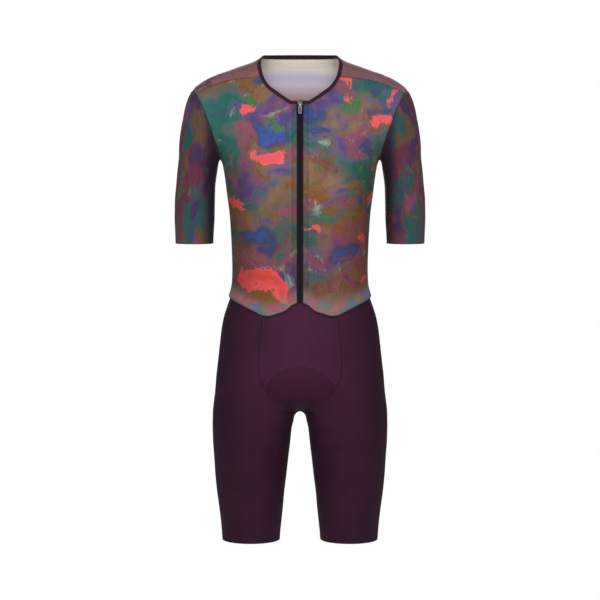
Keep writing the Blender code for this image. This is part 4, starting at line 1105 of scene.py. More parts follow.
def sleeve_knit():
    """The lighter sleeve knit: maroon outside, painted shade near black on the inner side,
    drawn-out strokes between.
    """
    dyes = bpy.context.scene.aerosuit_print
    mat, tree = new_material("streaked_sleeve_knit", SLEEVE_ROUGH, Specular_IOR_Level=0.14,
                             Sheen_Weight=0.02, Sheen_Roughness=0.4)
    drawn = brushed_place(tree, (1.0, 1.0, 0.45), 50.0, 6.0)
    bristles = dry_brush(tree, drawn, (230, 230, 30), 0.0)
    colour = patches(tree, drawn, bristles, linear(dyes.sleeve), (
        ("5E4330", 44, 0.52, 0.06, 0.14, 2.2), ("244B49", 46, 0.52, 0.06, 0.14, 0.9),
        ("3C2A4E", 36, 0.57, 0.06, 0.14, 3.1), ("7A3450", 34, 0.60, 0.06, 0.14, 4.6),
        ("2B3F6B", 28, 0.63, 0.05, 0.14, 5.8), ("3E5A3C", 24, 0.66, 0.05, 0.14, 7.3)))
    aside, _ = aside_and_height(tree)
    outer = add(tree, RANGE, {0: aside, 1: 0.222, 2: 0.245, 3: 0.0, 4: 0.45}, **SMOOTH)
    # painted shade: near black on the sleeve's inner side, towards the body
    inner = add(tree, RANGE, {0: aside, 1: 0.172, 2: 0.198, 3: 0.9, 4: 0.0}, **SMOOTH)
    for share, dye in ((outer, dyes.sleeve), (inner, dyes.sleeve_inner_shade)):
        colour = add(tree, MIX, {0: share, 6: colour, 7: linear(dye)}, **COLOUR)
    return knit_surface(mat, brushed_light(tree, bristles, colour), SLEEVE_ROUGH)


def knit_inside():
    """The undyed back of the printed knit: pale, softly banded where the print shows through."""
    dyes = bpy.context.scene.aerosuit_print
    mat, tree = new_material("undyed_knit_inside", 0.75, Specular_IOR_Level=0.2)
    place = add(tree, "ShaderNodeTexCoord", out=3)
    level = add(tree, "ShaderNodeMapping", {"Vector": place, "Scale": (4, 4, 60)})
    band = add(tree, NOISE, {"Vector": level, "Scale": 1.0, "Detail": 4.0, "Roughness": 0.5})
    height = add(tree, "ShaderNodeSeparateXYZ", {0: place}, out=2)
    down = add(tree, RANGE, {0: height, 1: -0.012, 2: -0.034, 3: -0.25, 4: 0.25}, **SMOOTH)
    tint = add(tree, MATH, {0: band, 1: down}, operation="ADD")
    tint = add(tree, RANGE, {0: tint, 1: 0.25, 2: 0.85}, **SMOOTH)
    colour = add(tree, MIX, {0: tint, 6: linear("FFF6E6"), 7: linear("DCD2EC")}, **COLOUR)
    low = add(tree, RANGE, {0: height, 1: -0.04, 2: -0.075}, **SMOOTH)
    colour = add(tree, MIX, {0: low, 6: colour, 7: linear(dyes.inside)}, **COLOUR)
    return knit_surface(mat, colour, 0.75, streak=0.03)


def shorts_knit(name, rough):
    """Dense nylon and elastane knit in one plum dye: smooth, a low soft gloss, and a painted pool
    of light over the tops of the thighs.
    """
    dye = bpy.context.scene.aerosuit_cloth.shorts_colour
    mat, tree = new_material(name, rough, Specular_IOR_Level=0.08)
    tone, _ = clouded(tree, 60, [c * 0.86 for c in dye], dye)

    # painted light: the colour is made lighter in a pool towards the middle of the hips
    aside, height = aside_and_height(tree)
    middle = add(tree, RANGE, {0: aside, 1: 0.0, 2: 0.165, 3: 1.0, 4: 0.0}, **SMOOTH)
    hips = add(tree, RANGE, {0: height, 1: -0.78, 2: -0.62, 3: 0.0, 4: 1.0}, **SMOOTH)
    shade = add(tree, MATH, {0: middle, 1: hips}, operation="MULTIPLY")
    shade = add(tree, MATH, {0: shade, 1: 1.12, 2: 1.0}, operation="MULTIPLY_ADD")

    # painted shade just under the jersey's hem, and painted shade over the pad
    for mark, change in (("hem_shade", -0.5), ("over_pad", -0.28)):
        part = add(tree, "ShaderNodeAttribute", out=2, attribute_name=mark)
        part = add(tree, MATH, {0: part, 1: change, 2: 1.0}, operation="MULTIPLY_ADD")
        shade = add(tree, MATH, {0: shade, 1: part}, operation="MULTIPLY")
    tone = add(tree, VECTOR, {0: tone, 3: shade}, operation="SCALE")
    return knit_surface(mat, tone, rough, streak=0.09, groove=0.88, spread=7.0)


def shorts_inside():
    """The looped inside of the shorts knit, brushed and a shade darker than its face."""
    dye = bpy.context.scene.aerosuit_cloth.shorts_colour
    mat, tree = new_material("plum_knit_inside", 0.8, Specular_IOR_Level=0.2)
    tone, _ = clouded(tree, 9, [c * 0.6 for c in dye], "3B2636", detail=4.0)
    return knit_surface(mat, tone, 0.8, streak=0.05)


def pad_cover():
    """Brushed microfibre bonded over foam: matt, napped, with painted shade in its moulded
    channels.
    """
    cloth = bpy.context.scene.aerosuit_cloth
    mat, tree = new_material("brushed_microfibre_on_foam", 0.85, Specular_IOR_Level=0.2,
                             Sheen_Weight=0.35, Sheen_Roughness=0.6)
    place = add(tree, "ShaderNodeTexCoord", out=3)
    nap = add(tree, NOISE, {"Vector": place, "Scale": 1000 / 1.6, "Detail": 4.0})
    cloud = add(tree, NOISE, {"Vector": place, "Scale": 1000 / 22, "Detail": 2.0})
    light = add(tree, MATH, {0: nap, 1: cloud}, operation="ADD")
    light = add(tree, RANGE, {0: light, 1: 0.8, 2: 1.2, 3: 0.82, 4: 1.12})
    # painted shade in the moulded channels
    sunk = add(tree, "ShaderNodeAttribute", out=2, attribute_name="channel")
    sunk = add(tree, MATH, {0: sunk, 1: -0.4, 2: 1.0}, operation="MULTIPLY_ADD")
    light = add(tree, MATH, {0: light, 1: sunk}, operation="MULTIPLY")
    tone = add(tree, VECTOR, {0: cloth.pad_colour, 3: light}, operation="SCALE")
    return finish(mat, tone, relief=nap, depth=0.15)


# ---------------------------------------------------------------- trim and stage

TWIST = 11.31       # mm of thread from one painted highlight to the next


def ribbed_trim(name, colour, rib, run=0, rough=0.6):
    """Woven tape or folded elastic: fine ribs across its run, in the bump and as a painted line of
    light on each.
    """
    mat, tree = new_material(name, rough, Specular_IOR_Level=0.15)
    uv = add(tree, "ShaderNodeUVMap", uv_map="cloth")
    wave = ribs(tree, add(tree, "ShaderNodeSeparateXYZ", {0: uv}, out=run), rib)
    fibre = add(tree, NOISE, {"Vector": uv, "Scale": 1000 / 2.5, "Detail": 3.0})
    # painted light on each rib and painted shade between them
    shade = add(tree, MATH, {0: wave, 1: 0.1, 2: 0.84}, operation="MULTIPLY_ADD")
    shade = add(tree, MATH, {0: fibre, 1: 0.3, 2: shade}, operation="MULTIPLY_ADD")
    shaded = add(tree, VECTOR, {0: colour, 3: shade}, operation="SCALE")
    worn = add(tree, RANGE, {0: fibre, 1: 0.3, 2: 0.7, 3: rough - 0.06, 4: rough + 0.08})
    return finish(mat, shaded, worn, wave, 0.08)


def sewing_thread(name, colour):
    """Spun polyester thread: matt, with painted light and shade by turns along its twist."""
    mat, tree = new_material(name, 0.7, Specular_IOR_Level=0.3, Sheen_Weight=0.2)
    place = add(tree, "ShaderNodeTexCoord", out=3)
    twist = add(tree, "ShaderNodeTexWave",
                {"Vector": place, "Scale": 200 * math.pi / TWIST, "Distortion": 1.0}, out=1,
                bands_direction="DIAGONAL")
    shade = add(tree, RANGE, {0: twist, 3: 0.75, 4: 1.15})
    tone = add(tree, VECTOR, {0: colour, 3: shade}, operation="SCALE")
    return finish(mat, tone, relief=twist, depth=0.05)


def plated_metal():
    """Nickel-plated die-cast zinc, tumbled and brushed: soft bright grey with fine scratches."""
    trim = bpy.context.scene.aerosuit_trim
    mat, tree = new_material("nickel_plated_zinc", 0.3, Metallic=1.0)
    place = add(tree, "ShaderNodeTexCoord", out=3)
    drawn = add(tree, "ShaderNodeMapping", {"Vector": place, "Scale": (1500, 1500, 220)})
    scratch = add(tree, NOISE, {"Vector": drawn, "Scale": 1.0, "Detail": 4.0})
    tone, _ = clouded(tree, 4, trim.metal, "858287", high=0.7, detail=2.0)
    rough = add(tree, RANGE, {0: scratch, 1: 0.3, 2: 0.7, 3: 0.32, 4: 0.5})
    return finish(mat, tone, rough, scratch, 0.02)


def dark_enamel():
    """Stoved enamel in the pull's sunk panel: charcoal, smooth, with a soft gloss."""
    mat, tree = new_material("charcoal_enamel", 0.35, Coat_Weight=0.3)
    tone, cloud = clouded(tree, 2, "2C2A30", "4A474E")
    return finish(mat, tone, add(tree, RANGE, {0: cloud, 1: 0.3, 2: 0.7, 3: 0.3, 4: 0.45}))


def nylon_coil():
    """Nylon monofilament of the zip's coil: smooth plastic wire with a sharp small gloss."""
    trim = bpy.context.scene.aerosuit_trim
    mat, tree = new_material("nylon_zip_coil", 0.32, IOR=1.53)
    tone, cloud = clouded(tree, 3, trim.tape, "2A2530", low=0.3, high=0.7, detail=2.0)
    return finish(mat, tone, add(tree, RANGE, {0: cloud, 1: 0.3, 2: 0.7, 3: 0.26, 4: 0.4}))


def painted_board():
    """Matt emulsion rolled on board: pale, with the roller's faint mottle."""
    stage = bpy.context.scene.aerosuit_stage
    mat, tree = new_material("matt_painted_board", 0.85, Specular_IOR_Level=0.2)
    place = add(tree, "ShaderNodeTexCoord", out=3)
    mottle = add(tree, NOISE, {"Vector": place, "Scale": 1000 / 30, "Detail": 3.0})
    light = add(tree, RANGE, {0: mottle, 1: 0.3, 2: 0.7, 3: 0.98, 4: 1.0})
    return finish(mat, add(tree, VECTOR, {0: stage.floor_colour, 3: light}, operation="SCALE"))


# ---------------------------------------------------------------- stitches and the zip's coil

def new_tree(name, *lengths):
    """A geometry node tree that takes lines, some lengths and a material, and its inputs."""
    tree = bpy.data.node_groups.new(name, "GeometryNodeTree")
    tree.interface.new_socket(name="Geometry", in_out="OUTPUT", socket_type="NodeSocketGeometry")
    kinds = {"Geometry": "NodeSocketGeometry", **dict.fromkeys(lengths, "NodeSocketFloat"),
             "Material": "NodeSocketMaterial"}
    for label, kind in kinds.items():
        tree.interface.new_socket(name=label, in_out="INPUT", socket_type=kind)
    return tree, add(tree, "NodeGroupInput").node.outputs


def along_lines(tree, given, pitch, shape):
    """Places shape at even steps along the object's edges, its Z outwards and its X along them."""
    line = add(tree, "GeometryNodeMeshToCurve", {0: given["Geometry"]})
    line = add(tree, "GeometryNodeResampleCurve", {"Curve": line, "Length": given[pitch]},
               mode="LENGTH")
    out = add(tree, "GeometryNodeInputNamedAttribute", {"Name": "outward"},
              data_type="FLOAT_VECTOR")
    turn = add(tree, "FunctionNodeAlignRotationToVector", {"Vector": out}, axis="Z")
    tangent = add(tree, "GeometryNodeInputTangent")
    turn = add(tree, "FunctionNodeAlignRotationToVector", {"Rotation": turn, "Vector": tangent},
               axis="X", pivot_axis="Z")
    many = add(tree, "GeometryNodeInstanceOnPoints",
               {"Points": line, "Instance": shape, "Rotation": turn})
    real = add(tree, "GeometryNodeRealizeInstances", {0: many})
    done = add(tree, "GeometryNodeSetMaterial", {"Geometry": real, "Material": given["Material"]})
    add(tree, "NodeGroupOutput", {0: done})
    return tree


def stitch_tree():
    """Lockstitches: short arcs of thread that dip into the cloth at both ends."""
    tree, given = new_tree("stitch_run", "Stitch Pitch", "Stitch Length", "Thread Width")
    back, ahead, sunk, radius = (
        add(tree, MATH, {0: given[name], 1: factor}, operation="MULTIPLY")
        for name, factor in (("Stitch Length", -0.5), ("Stitch Length", 0.5),
                             ("Thread Width", -0.6), ("Thread Width", 0.5)))
    start, end = (add(tree, "ShaderNodeCombineXYZ", {0: half, 2: sunk}) for half in (back, ahead))
    top = add(tree, "ShaderNodeCombineXYZ", {2: given["Thread Width"]})
    arc = add(tree, "GeometryNodeCurveQuadraticBezier",
              {"Resolution": 3, "Start": start, "Middle": top, "End": end})
    section = add(tree, "GeometryNodeCurvePrimitiveCircle", {"Resolution": 4, "Radius": radius})
    thread = add(tree, "GeometryNodeCurveToMesh",
                 {"Curve": arc, "Profile Curve": section, "Fill Caps": True})
    return along_lines(tree, given, "Stitch Pitch", thread)


def coil_tree():
    """A closed zip's coil: flat turns of wire from either tape, half a pitch apart."""
    tree, given = new_tree("zip_coil", "Coil Pitch", "Coil Reach", "Wire Width")
    radius, across = (add(tree, MATH, {0: given[name], 1: factor}, operation="MULTIPLY")
                      for name, factor in (("Wire Width", 0.5), ("Coil Reach", 0.62)))
    wire = add(tree, "GeometryNodeCurvePrimitiveCircle", {"Resolution": 4, "Radius": radius})
    size = add(tree, "ShaderNodeCombineXYZ", {0: across, 1: given["Wire Width"], 2: 1.0})
    turns = tree.nodes.new("GeometryNodeJoinGeometry")
    for side in (-1, 1):
        later, aside = (add(tree, MATH, {0: given[name], 1: side * factor}, operation="MULTIPLY")
                        for name, factor in (("Coil Pitch", 0.25), ("Coil Reach", 0.38)))
        place = add(tree, "ShaderNodeCombineXYZ", {0: later, 1: aside})
        ring = add(tree, "GeometryNodeCurvePrimitiveCircle", {"Resolution": 6, "Radius": 1.0})
        ring = add(tree, "GeometryNodeTransform", {"Geometry": ring, "Scale": size})
        ring = add(tree, "GeometryNodeTransform",
                   {"Geometry": ring, "Translation": place,
                    "Rotation": (math.pi / 2, 0.0, math.pi / 2)})
        turn = add(tree, "GeometryNodeCurveToMesh", {"Curve": ring, "Profile Curve": wire})
        tree.links.new(turn, turns.inputs[0])
    return along_lines(tree, given, "Coil Pitch", turns.outputs[0])


def plain_mesh(obj, name):
    """What an object's modifiers make of it, as a mesh of its own."""
    bpy.context.view_layer.update()
    evaluated = obj.evaluated_get(bpy.context.evaluated_depsgraph_get())
    mesh = bpy.data.meshes.new_from_object(evaluated)
    mesh.name = name
    mesh.shade_smooth()
    return mesh


def run_tree(name, tree, lines, values):
    """The piece that a tree makes along lines, each a row of points in mm and their normals."""
    points, normals = (np.concatenate(parts) for parts in zip(*lines))
    edges, start = [], 0
    for line, _ in lines:
        edges += [(i, i + 1) for i in range(start, start + len(line) - 1)]
        start += len(line)
    mesh = bpy.data.meshes.new(name + "_lines")
    mesh.from_pydata((points * MM).tolist(), edges, [])
    layer = mesh.attributes.new("outward", "FLOAT_VECTOR", "POINT")
    layer.data.foreach_set("vector", normals.ravel())
    carrier = link_new(name + "_lines", mesh)
    modifier = carrier.modifiers.new(tree.name, "NODES")
    modifier.node_group = tree
    sockets = {item.name: item.identifier for item in tree.interface.items_tree
               if item.in_out == "INPUT"}
    for label, value in values.items():
        modifier[sockets[label]] = value
    made = plain_mesh(carrier, name)
    bpy.data.objects.remove(carrier)
    bpy.data.meshes.remove(mesh)
    if not made.polygons:
        raise RuntimeError(f"{name} came out empty")
    return link_new(name, made)


def beside(line, aside):
    """A line on the figure moved sideways along it, by aside mm."""
    across = np.cross(np.gradient(line, axis=0), outward(line))
    return settle(line + across / np.linalg.norm(across, axis=1, keepdims=True) * aside, 3)


def raised(line, lift):
    """A line's places on the cloth's outer face, and its normals, for run_tree."""
    normals = outward(line)
    return line + normals * np.reshape(lift(line), (-1, 1)), normals


def sew(name, lines, thread):
    """Rows of stitches along lines on the wearer's left and the same on the right, as one piece."""
    trim = bpy.context.scene.aerosuit_trim
    lines = lines + [(mirror(line), mirror(out)) for line, out in lines]
    return run_tree(name, stitch_tree(), lines, {
        "Stitch Pitch": trim.stitch_pitch, "Stitch Length": 0.74 * trim.stitch_pitch,
        "Thread Width": trim.thread_width, "Material": thread})


# ---------------------------------------------------------------- the slider and the pull

def hard_copy(node, name, mat, bevel, panel=None):
    """A CAD node's shape, merged and with its edges broken by a small bevel.

    With panel, the largest face that looks forward gets a plain sunk panel in that material.
    """
    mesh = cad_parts[node].data.copy()
    mesh.materials.clear()
    mesh.materials.append(mat)
    bm = bmesh.new()
    bm.from_mesh(mesh)
    bmesh.ops.remove_doubles(bm, verts=bm.verts, dist=1e-6)
    bmesh.ops.dissolve_limit(bm, angle_limit=math.radians(1), verts=bm.verts, edges=bm.edges)
    if panel:
        mesh.materials.append(panel)
        front = max(bm.faces, key=lambda face: face.calc_area() * (face.normal.y < -0.5))
        bmesh.ops.inset_individual(bm, faces=[front], thickness=PANEL_RIM * MM)
        bmesh.ops.inset_individual(bm, faces=[front], thickness=PANEL_SLOPE * MM,
                                   depth=-PANEL_SUNK * MM)
        front.material_index = 1
    bm.to_mesh(mesh)
    bm.free()
    obj = link_new(name, mesh)
    modifier = obj.modifiers.new("broken_edges", "BEVEL")
    modifier.width, modifier.segments, modifier.limit_method = bevel * MM, 2, "ANGLE"
    modifier.angle_limit = math.radians(35)
    obj.data = plain_mesh(obj, name)
    obj.modifiers.clear()
    obj.data.set_sharp_from_angle(angle=math.radians(40))
    bpy.data.meshes.remove(mesh)
    return obj


# ---------------------------------------------------------------- sizes and colours a user may set

def colour_setting(name, description, hex_colour):
    return bpy.props.FloatVectorProperty(name=name, description=description, subtype="COLOR",
                                         size=3, min=0, max=1, default=linear(hex_colour)[:3])


def length_setting(name, description, default):
    return bpy.props.FloatProperty(name=name, description=description, unit="LENGTH",
                                   subtype="DISTANCE", min=0, precision=5, default=default)


class AerosuitClothSettings(bpy.types.PropertyGroup):
    jersey_thickness: length_setting("Jersey Thickness", "Thickness of the jersey knit", 0.9 * MM)
    shorts_thickness: length_setting("Shorts Thickness", "Thickness of the shorts knit", 1.1 * MM)
    seam_depth: length_setting("Seam Depth", "How far the sewn seams press in", 0.55 * MM)
    fold_strength: bpy.props.FloatProperty(
        name="Fold Strength", description="Height of the soft folds", subtype="FACTOR",
        min=0, max=2, default=1.0)
    shorts_colour: colour_setting("Shorts Colour", "Dye of the shorts knit", "2E1226")
    pad_colour: colour_setting("Pad Colour", "Microfibre cover of the seat pad", "4A4048")


class AerosuitPrintSettings(bpy.types.PropertyGroup):
    patch_size: length_setting("Patch Size", "Size of the print's larger patches", 0.1)
    ground: colour_setting("Ground", "The print's ground colour", "6C4838")
    tan: colour_setting("Tan", "Broad pale brown patches", "876A50")
    ochre: colour_setting("Ochre", "Broad ochre patches", "7E5529")
    grey_teal: colour_setting("Grey Teal", "Soft edge of the teal patches", "566462")
    teal: colour_setting("Teal", "Teal patches", "2A615D")
    lilac: colour_setting("Lilac", "Soft edge of the purple patches", "6A5A78")
    purple: colour_setting("Purple", "Purple patches", "55427C")
    mauve: colour_setting("Mauve", "Mauve patches", "864C60")
    indigo: colour_setting("Indigo", "Small indigo patches", "3B406C")
    blue: colour_setting("Blue", "Hearts of the indigo patches", "3A5292")
    mint: colour_setting("Mint", "Small pale patches", "8A9E90")
    green: colour_setting("Green", "Small green patches", "4A7046")
    coral: colour_setting("Coral", "Crisp coral patches", "EC6068")
    orange: colour_setting("Orange", "Hearts of the coral patches", "D04A38")
    shoulder: colour_setting("Shoulder", "Shoulders and back near the neck", "7F5550")
    shoulder_outer: colour_setting("Outer Shoulder", "Shoulders towards the arms", "8A6070")
    back_low: colour_setting("Lower Back", "Back towards the waist", "6E4B52")
    sleeve: colour_setting("Sleeve", "Ground colour of the sleeves", "5A2A3C")
    # painted shade on the sleeves' inner side, towards the body
    sleeve_inner_shade: colour_setting("Inner Sleeve", "Inside of the sleeves", "2A1C26")
    inside: colour_setting("Inside", "Undyed back of the knit, low down", "C4A9AC")


class AerosuitTrimSettings(bpy.types.PropertyGroup):
    stitch_pitch: length_setting("Stitch Pitch", "Distance from stitch to stitch", 3.0 * MM)
    thread_width: length_setting("Thread Width", "Width of the sewing thread", 0.42 * MM)
    coil_pitch: length_setting("Coil Pitch", "Distance from turn to turn of the zip", 1.4 * MM)
    binding: colour_setting("Binding", "Folded elastic round the neck", "381829")
    tape: colour_setting("Zip Tape", "Woven tape of the zip", "0F0A13")
    metal: colour_setting("Zip Metal", "Plating of the slider and pull", "A5A2A4")
    jersey_thread: colour_setting("Jersey Thread", "Thread of the jersey's seams", "4A2B35")
    shorts_thread: colour_setting("Shorts Thread", "Thread of the shorts' seams", "3A2134")


class AerosuitStageSettings(bpy.types.PropertyGroup):
    floor_height: bpy.props.FloatProperty(
        name="Floor Height", description="Height of the floor below the suit's shoulders",
        unit="LENGTH", subtype="DISTANCE", default=-1.5)
    floor_radius: length_setting("Floor Radius", "Radius of the round floor", 1.7)
    floor_colour: colour_setting("Floor Colour", "Paint of the floor", "E9E8E6")
    key_power: bpy.props.FloatProperty(name="Key Light", description="Power of the front light",
                                       unit="POWER", min=0, default=100.0)


# ---------------------------------------------------------------- what the cloth pieces share

SEWN = {"bottom": "hem", "top": "seam", "left": "seam", "right": "seam"}
SEWN_BELOW = {"bottom": "seam", "top": "hem", "left": "seam", "right": "seam"}
BOUND = {"bottom": "seam", "top": "hem", "left": "hem", "right": "hem"}

# start, end, width and height of each soft fold, on the wearer's left, in mm
FRONT_FOLDS = (
    ((158, -20, -196), (96, -112, -236), 10, -0.9),
    ((156, -30, -214), (104, -104, -262), 8, 0.7),
    ((136, -30, -395), (70, -96, -420), 12, -0.8),
    ((134, -40, -372), (60, -100, -392), 11, 0.7),
)
BACK_FOLDS = (
    ((158, 20, -196), (90, 104, -240), 10, -0.9),
    ((130, 40, -352), (0, 84, -372), 11, -1.0),
    ((132, 36, -388), (0, 80, -410), 12, -1.1),
    ((130, 44, -330), (30, 84, -344), 9, 0.7),
)
SLEEVE_FOLDS = (
    ((172, -30, -210), (226, -46, -262), 7, -0.8),
    ((176, 10, -226), (214, 48, -286), 7, -0.8),
    ((172, -36, -322), (230, -40, -336), 8, -0.7),
)
LEG_FOLDS = (
    ((24, -30, -728), (92, -88, -706), 8, -1.5),
    ((26, -24, -752), (90, -84, -742), 8, -1.3),
    ((90, -92, -596), (86, -96, -650), 7, 0.9),
    ((26, 40, -744), (96, 100, -724), 9, -1.0),
    ((38, 52, -776), (110, 84, -770), 9, -0.8),
)


def both_sides(net):
    """The wearer's left net as it is, and mirrored for the right."""
    return ("left", net), ("right", mirror(net))


def jersey_piece(name, net, extra, finishes, slot, node):
    """One panel or sleeve of the jersey, with its soft folds in extra."""
    thick = bpy.context.scene.aerosuit_cloth.jersey_thickness / MM
    obj = shell(name, net, jersey_lift, SEWN, thick, extra, materials=finishes)
    put_attribute(obj.data, "fold_height", extra)
    belongs(obj, SUIT, slot, node)


def shorts_piece(name, net, edges, extra, finishes, node, cut, **marks):
    """One panel of the shorts, with what its finish reads in marks."""
    thick = bpy.context.scene.aerosuit_cloth.shorts_thickness / MM
    obj = shell(name, net, shorts_lift, edges, thick, extra, materials=finishes)
    for mark, values in marks.items():
        put_attribute(obj.data, mark, values)
    belongs(obj, SUIT, "plum_shorts_knit", node)


# ---------------------------------------------------------------- one operator for each piece

class AEROSUIT_OT_jersey_fronts(bpy.types.Operator):
    """Make the two printed front panels"""
    bl_idname = "aerosuit.jersey_fronts"
    bl_label = "Jersey Fronts"

    def execute(self, context):
        net = fine_net(front_net(seams()), (N_SIDE + N_UNDERARM_BEND,), (N_NECK_FRONT,))
        extra, finishes = soft_folds(net, FRONT_FOLDS), (printed_jersey_knit(), knit_inside())
        for side, grid in both_sides(net):
            jersey_piece(f"jersey_front_{side}", grid, extra, finishes, "printed_jersey_knit",
                         f"front_{side}")
        return {"FINISHED"}


class AEROSUIT_OT_jersey_back(bpy.types.Operator):
    """Make the back panel, which comes forward over the shoulders"""
    bl_idname = "aerosuit.jersey_back"
    bl_label = "Jersey Back"

    def execute(self, context):
        net = fine_net(back_net(seams()), (N_SIDE + N_UNDERARM_BEND,), (N_NECK_BACK,), halves=True)
        extra = soft_folds(np.abs(net) * [1, 0, 0] + net * [0, 1, 1], BACK_FOLDS)
        jersey_piece("jersey_back", net, extra, (shoulder_knit(), knit_inside()),
                     "shoulder_knit", "back")
        return {"FINISHED"}


class AEROSUIT_OT_sleeves(bpy.types.Operator):
    """Make the two sleeves, each one piece with a seam under the arm"""
    bl_idname = "aerosuit.sleeves"
    bl_label = "Sleeves"

    def execute(self, context):
        net = fine_net(sleeve_net(seams()), (), (N_ARMHOLE_FRONT,))
        extra, finishes = soft_folds(net, SLEEVE_FOLDS), (sleeve_knit(), knit_inside())
        for side, grid in both_sides(net):
            jersey_piece(f"sleeve_piece_{side}", grid, extra, finishes, "sleeve_knit",
                         f"sleeve_{side}")
        return {"FINISHED"}


class AEROSUIT_OT_shorts_legs(bpy.types.Operator):
    """Make the two leg panels, which wrap round from the front seam to the seat seam"""
    bl_idname = "aerosuit.shorts_legs"
    bl_label = "Shorts Legs"

    def execute(self, context):
        net = fine_net(leg_net(seams()))
        extra, shaded = soft_folds(net, LEG_FOLDS), hem_shade(net)
        finishes = shorts_knit("plum_nylon_knit_legs", 0.55), shorts_inside()
        for side, grid in both_sides(net):
            shorts_piece(f"shorts_leg_{side}", grid, SEWN, extra, finishes, f"leg_{side}", "leg",
                         fold_height=extra, hem_shade=shaded)
        return {"FINISHED"}


class AEROSUIT_OT_shorts_centre(bpy.types.Operator):
    """Make the centre front panel over the pad, and the seat panel"""
    bl_idname = "aerosuit.shorts_centre"
    bl_label = "Shorts Centre Panels"

    def execute(self, context):
        finishes = shorts_knit("plum_nylon_knit_centre", 0.58), shorts_inside()
        coarse = front_centre_net(seams())
        net = fine_net(coarse, (N_PAD_SEAM, N_PAD_SEAM + 1), (), halves=True)
        row = places(len(coarse) - 1)[:, None]
        aside = edge_distances(net)["right"]
        aside = np.minimum(aside, aside[:, ::-1])
        # the pad lifts the panel below its arch, rising over 14 mm from the side seams
        over = (smooth_step(row, 0, 1.4) * (1 - smooth_step(row, N_PAD_SEAM, N_PAD_SEAM + 1))
                * smooth_step(aside, 0, 14))
        arch = np.exp(-((row - N_PAD_SEAM - 0.5) / 0.22) ** 2) * smooth_step(aside, 0, 8)
        shorts_piece("shorts_front_centre", net, SEWN_BELOW, PAD_RELIEF * over - ARCH_GROOVE * arch,
                     finishes, "front_centre", "front_centre", over_pad=over,
                     hem_shade=hem_shade(net))
        net = fine_net(seat_net(seams()), (N_PAD_SEAM,), (), halves=True)
        shorts_piece("shorts_seat", net, SEWN_BELOW, 0.0, finishes, "seat", "seat",
                     hem_shade=hem_shade(net))
        return {"FINISHED"}


class AEROSUIT_OT_seat_pad(bpy.types.Operator):
    """Make the moulded seat pad inside the shorts"""
    bl_idname = "aerosuit.seat_pad"
    bl_label = "Seat Pad"

    def execute(self, context):
        net = fine_net(pad_net(seams()), (), (), halves=True)
        row = places(PAD_ROWS)[:, None]
        right = places(PAD_COLUMNS, near_start=False)
        column = np.abs(np.concatenate([-right[:0:-1], right]))[None] / PAD_COLUMNS
        ends = np.clip(np.minimum(row, PAD_ROWS - row) / 2, 0, 1)
        full = ends * (1 - column ** 3)
        # one channel runs down the middle and one at 0.6 of the half width on each side
        channel = (np.exp(-((column - 0.6) / 0.055) ** 2) + np.exp(-(column / 0.07) ** 2)) * ends
        thick = PAD_EDGE + (PAD_THICK - PAD_EDGE) * full - PAD_CHANNEL * channel * full
        obj = shell("seat_pad_foam", net, lambda p: PAD_LIFT, {}, thick, radius=THICK_ROUND,
                    materials=(pad_cover(),))
        put_attribute(obj.data, "channel", channel)
        belongs(obj, SUIT, "pad_foam", "seat_pad")
        return {"FINISHED"}


class AEROSUIT_OT_neck_binding(bpy.types.Operator):
    """Make the folded elastic round the neck opening"""
    bl_idname = "aerosuit.neck_binding"
    bl_label = "Neck Binding"

    def execute(self, context):
        trim = context.scene.aerosuit_trim
        net = fine_net(binding_net(seams()), (), (N_NECK_BACK,), halves=True, laid=False)
        distance = edge_distances(net)
        share = distance["bottom"] / (distance["bottom"] + distance["top"])
        crown = BINDING_ROUND * (1 - (2 * share - 1) ** 2)
        obj = shell("neck_binding_band", net, jersey_lift, BOUND, BINDING_THICK, crown,
                    radius=THICK_ROUND,
                    materials=(ribbed_trim("folded_elastic_binding", trim.binding, 1.6),))
        belongs(obj, SUIT, "plum_binding", "neck_binding")
        return {"FINISHED"}


class AEROSUIT_OT_zip(bpy.types.Operator):
    """Make the zip's two tapes and the coil behind them"""
    bl_idname = "aerosuit.zip"
    bl_label = "Zip Tapes and Coil"

    def execute(self, context):
        trim = context.scene.aerosuit_trim
        net = fine_net(tape_net())
        aside = edge_distances(net)["left"]
        # a bead 1.3 mm in from the edge where the tapes meet, and the groove between them
        bead = (TAPE_BEAD * np.exp(-((aside - 1.3) / 0.8) ** 2)
                - TAPE_GROOVE * np.exp(-(aside / 0.5) ** 2))
        mat = ribbed_trim("woven_polyester_tape", trim.tape, 1.5, run=1)
        for side, grid in both_sides(net):
            obj = shell(f"zip_tape_cloth_{side}", grid, tape_lift, {"right": "seam"}, TAPE_THICK,
                        bead, radius=TAPE_ROUND, materials=(mat,))
            belongs(obj, SUIT, "zip_tape", f"zip_tape_{side}")
        # the coil runs from 4 mm above the tapes' foot to just below the slider
        heights = np.linspace(ZIP_BOTTOM_Z + 4, ZIP_TOP_Z - SLIDER_BELOW - 1, 120)
        line = straight([(0, z) for z in heights], -1)
        coil = run_tree("zip_coil_turns", coil_tree(),
                        [raised(line, lambda p: tape_lift(p) - COIL_BEHIND)],
                        {"Coil Pitch": trim.coil_pitch, "Coil Reach": COIL_REACH * MM,
                         "Wire Width": COIL_WIRE * MM, "Material": nylon_coil()})
        belongs(coil, SUIT, "zip_tape")
        return {"FINISHED"}


class AEROSUIT_OT_slider_and_pull(bpy.types.Operator):
    """Give the zip's slider and pull broken edges and bright plating"""
    bl_idname = "aerosuit.slider_and_pull"
    bl_label = "Slider and Pull"

    def execute(self, context):
        mat = plated_metal()
        slider = hard_copy("zip_slider", "slider_body", mat, SLIDER_BEVEL)
        belongs(slider, SUIT, "zip_metal", "zip_slider")
        pull = hard_copy("zip_pull", "pull_tab", mat, PULL_BEVEL, panel=dark_enamel())
        belongs(pull, PULL, "zip_metal", "zip_pull")
        return {"FINISHED"}


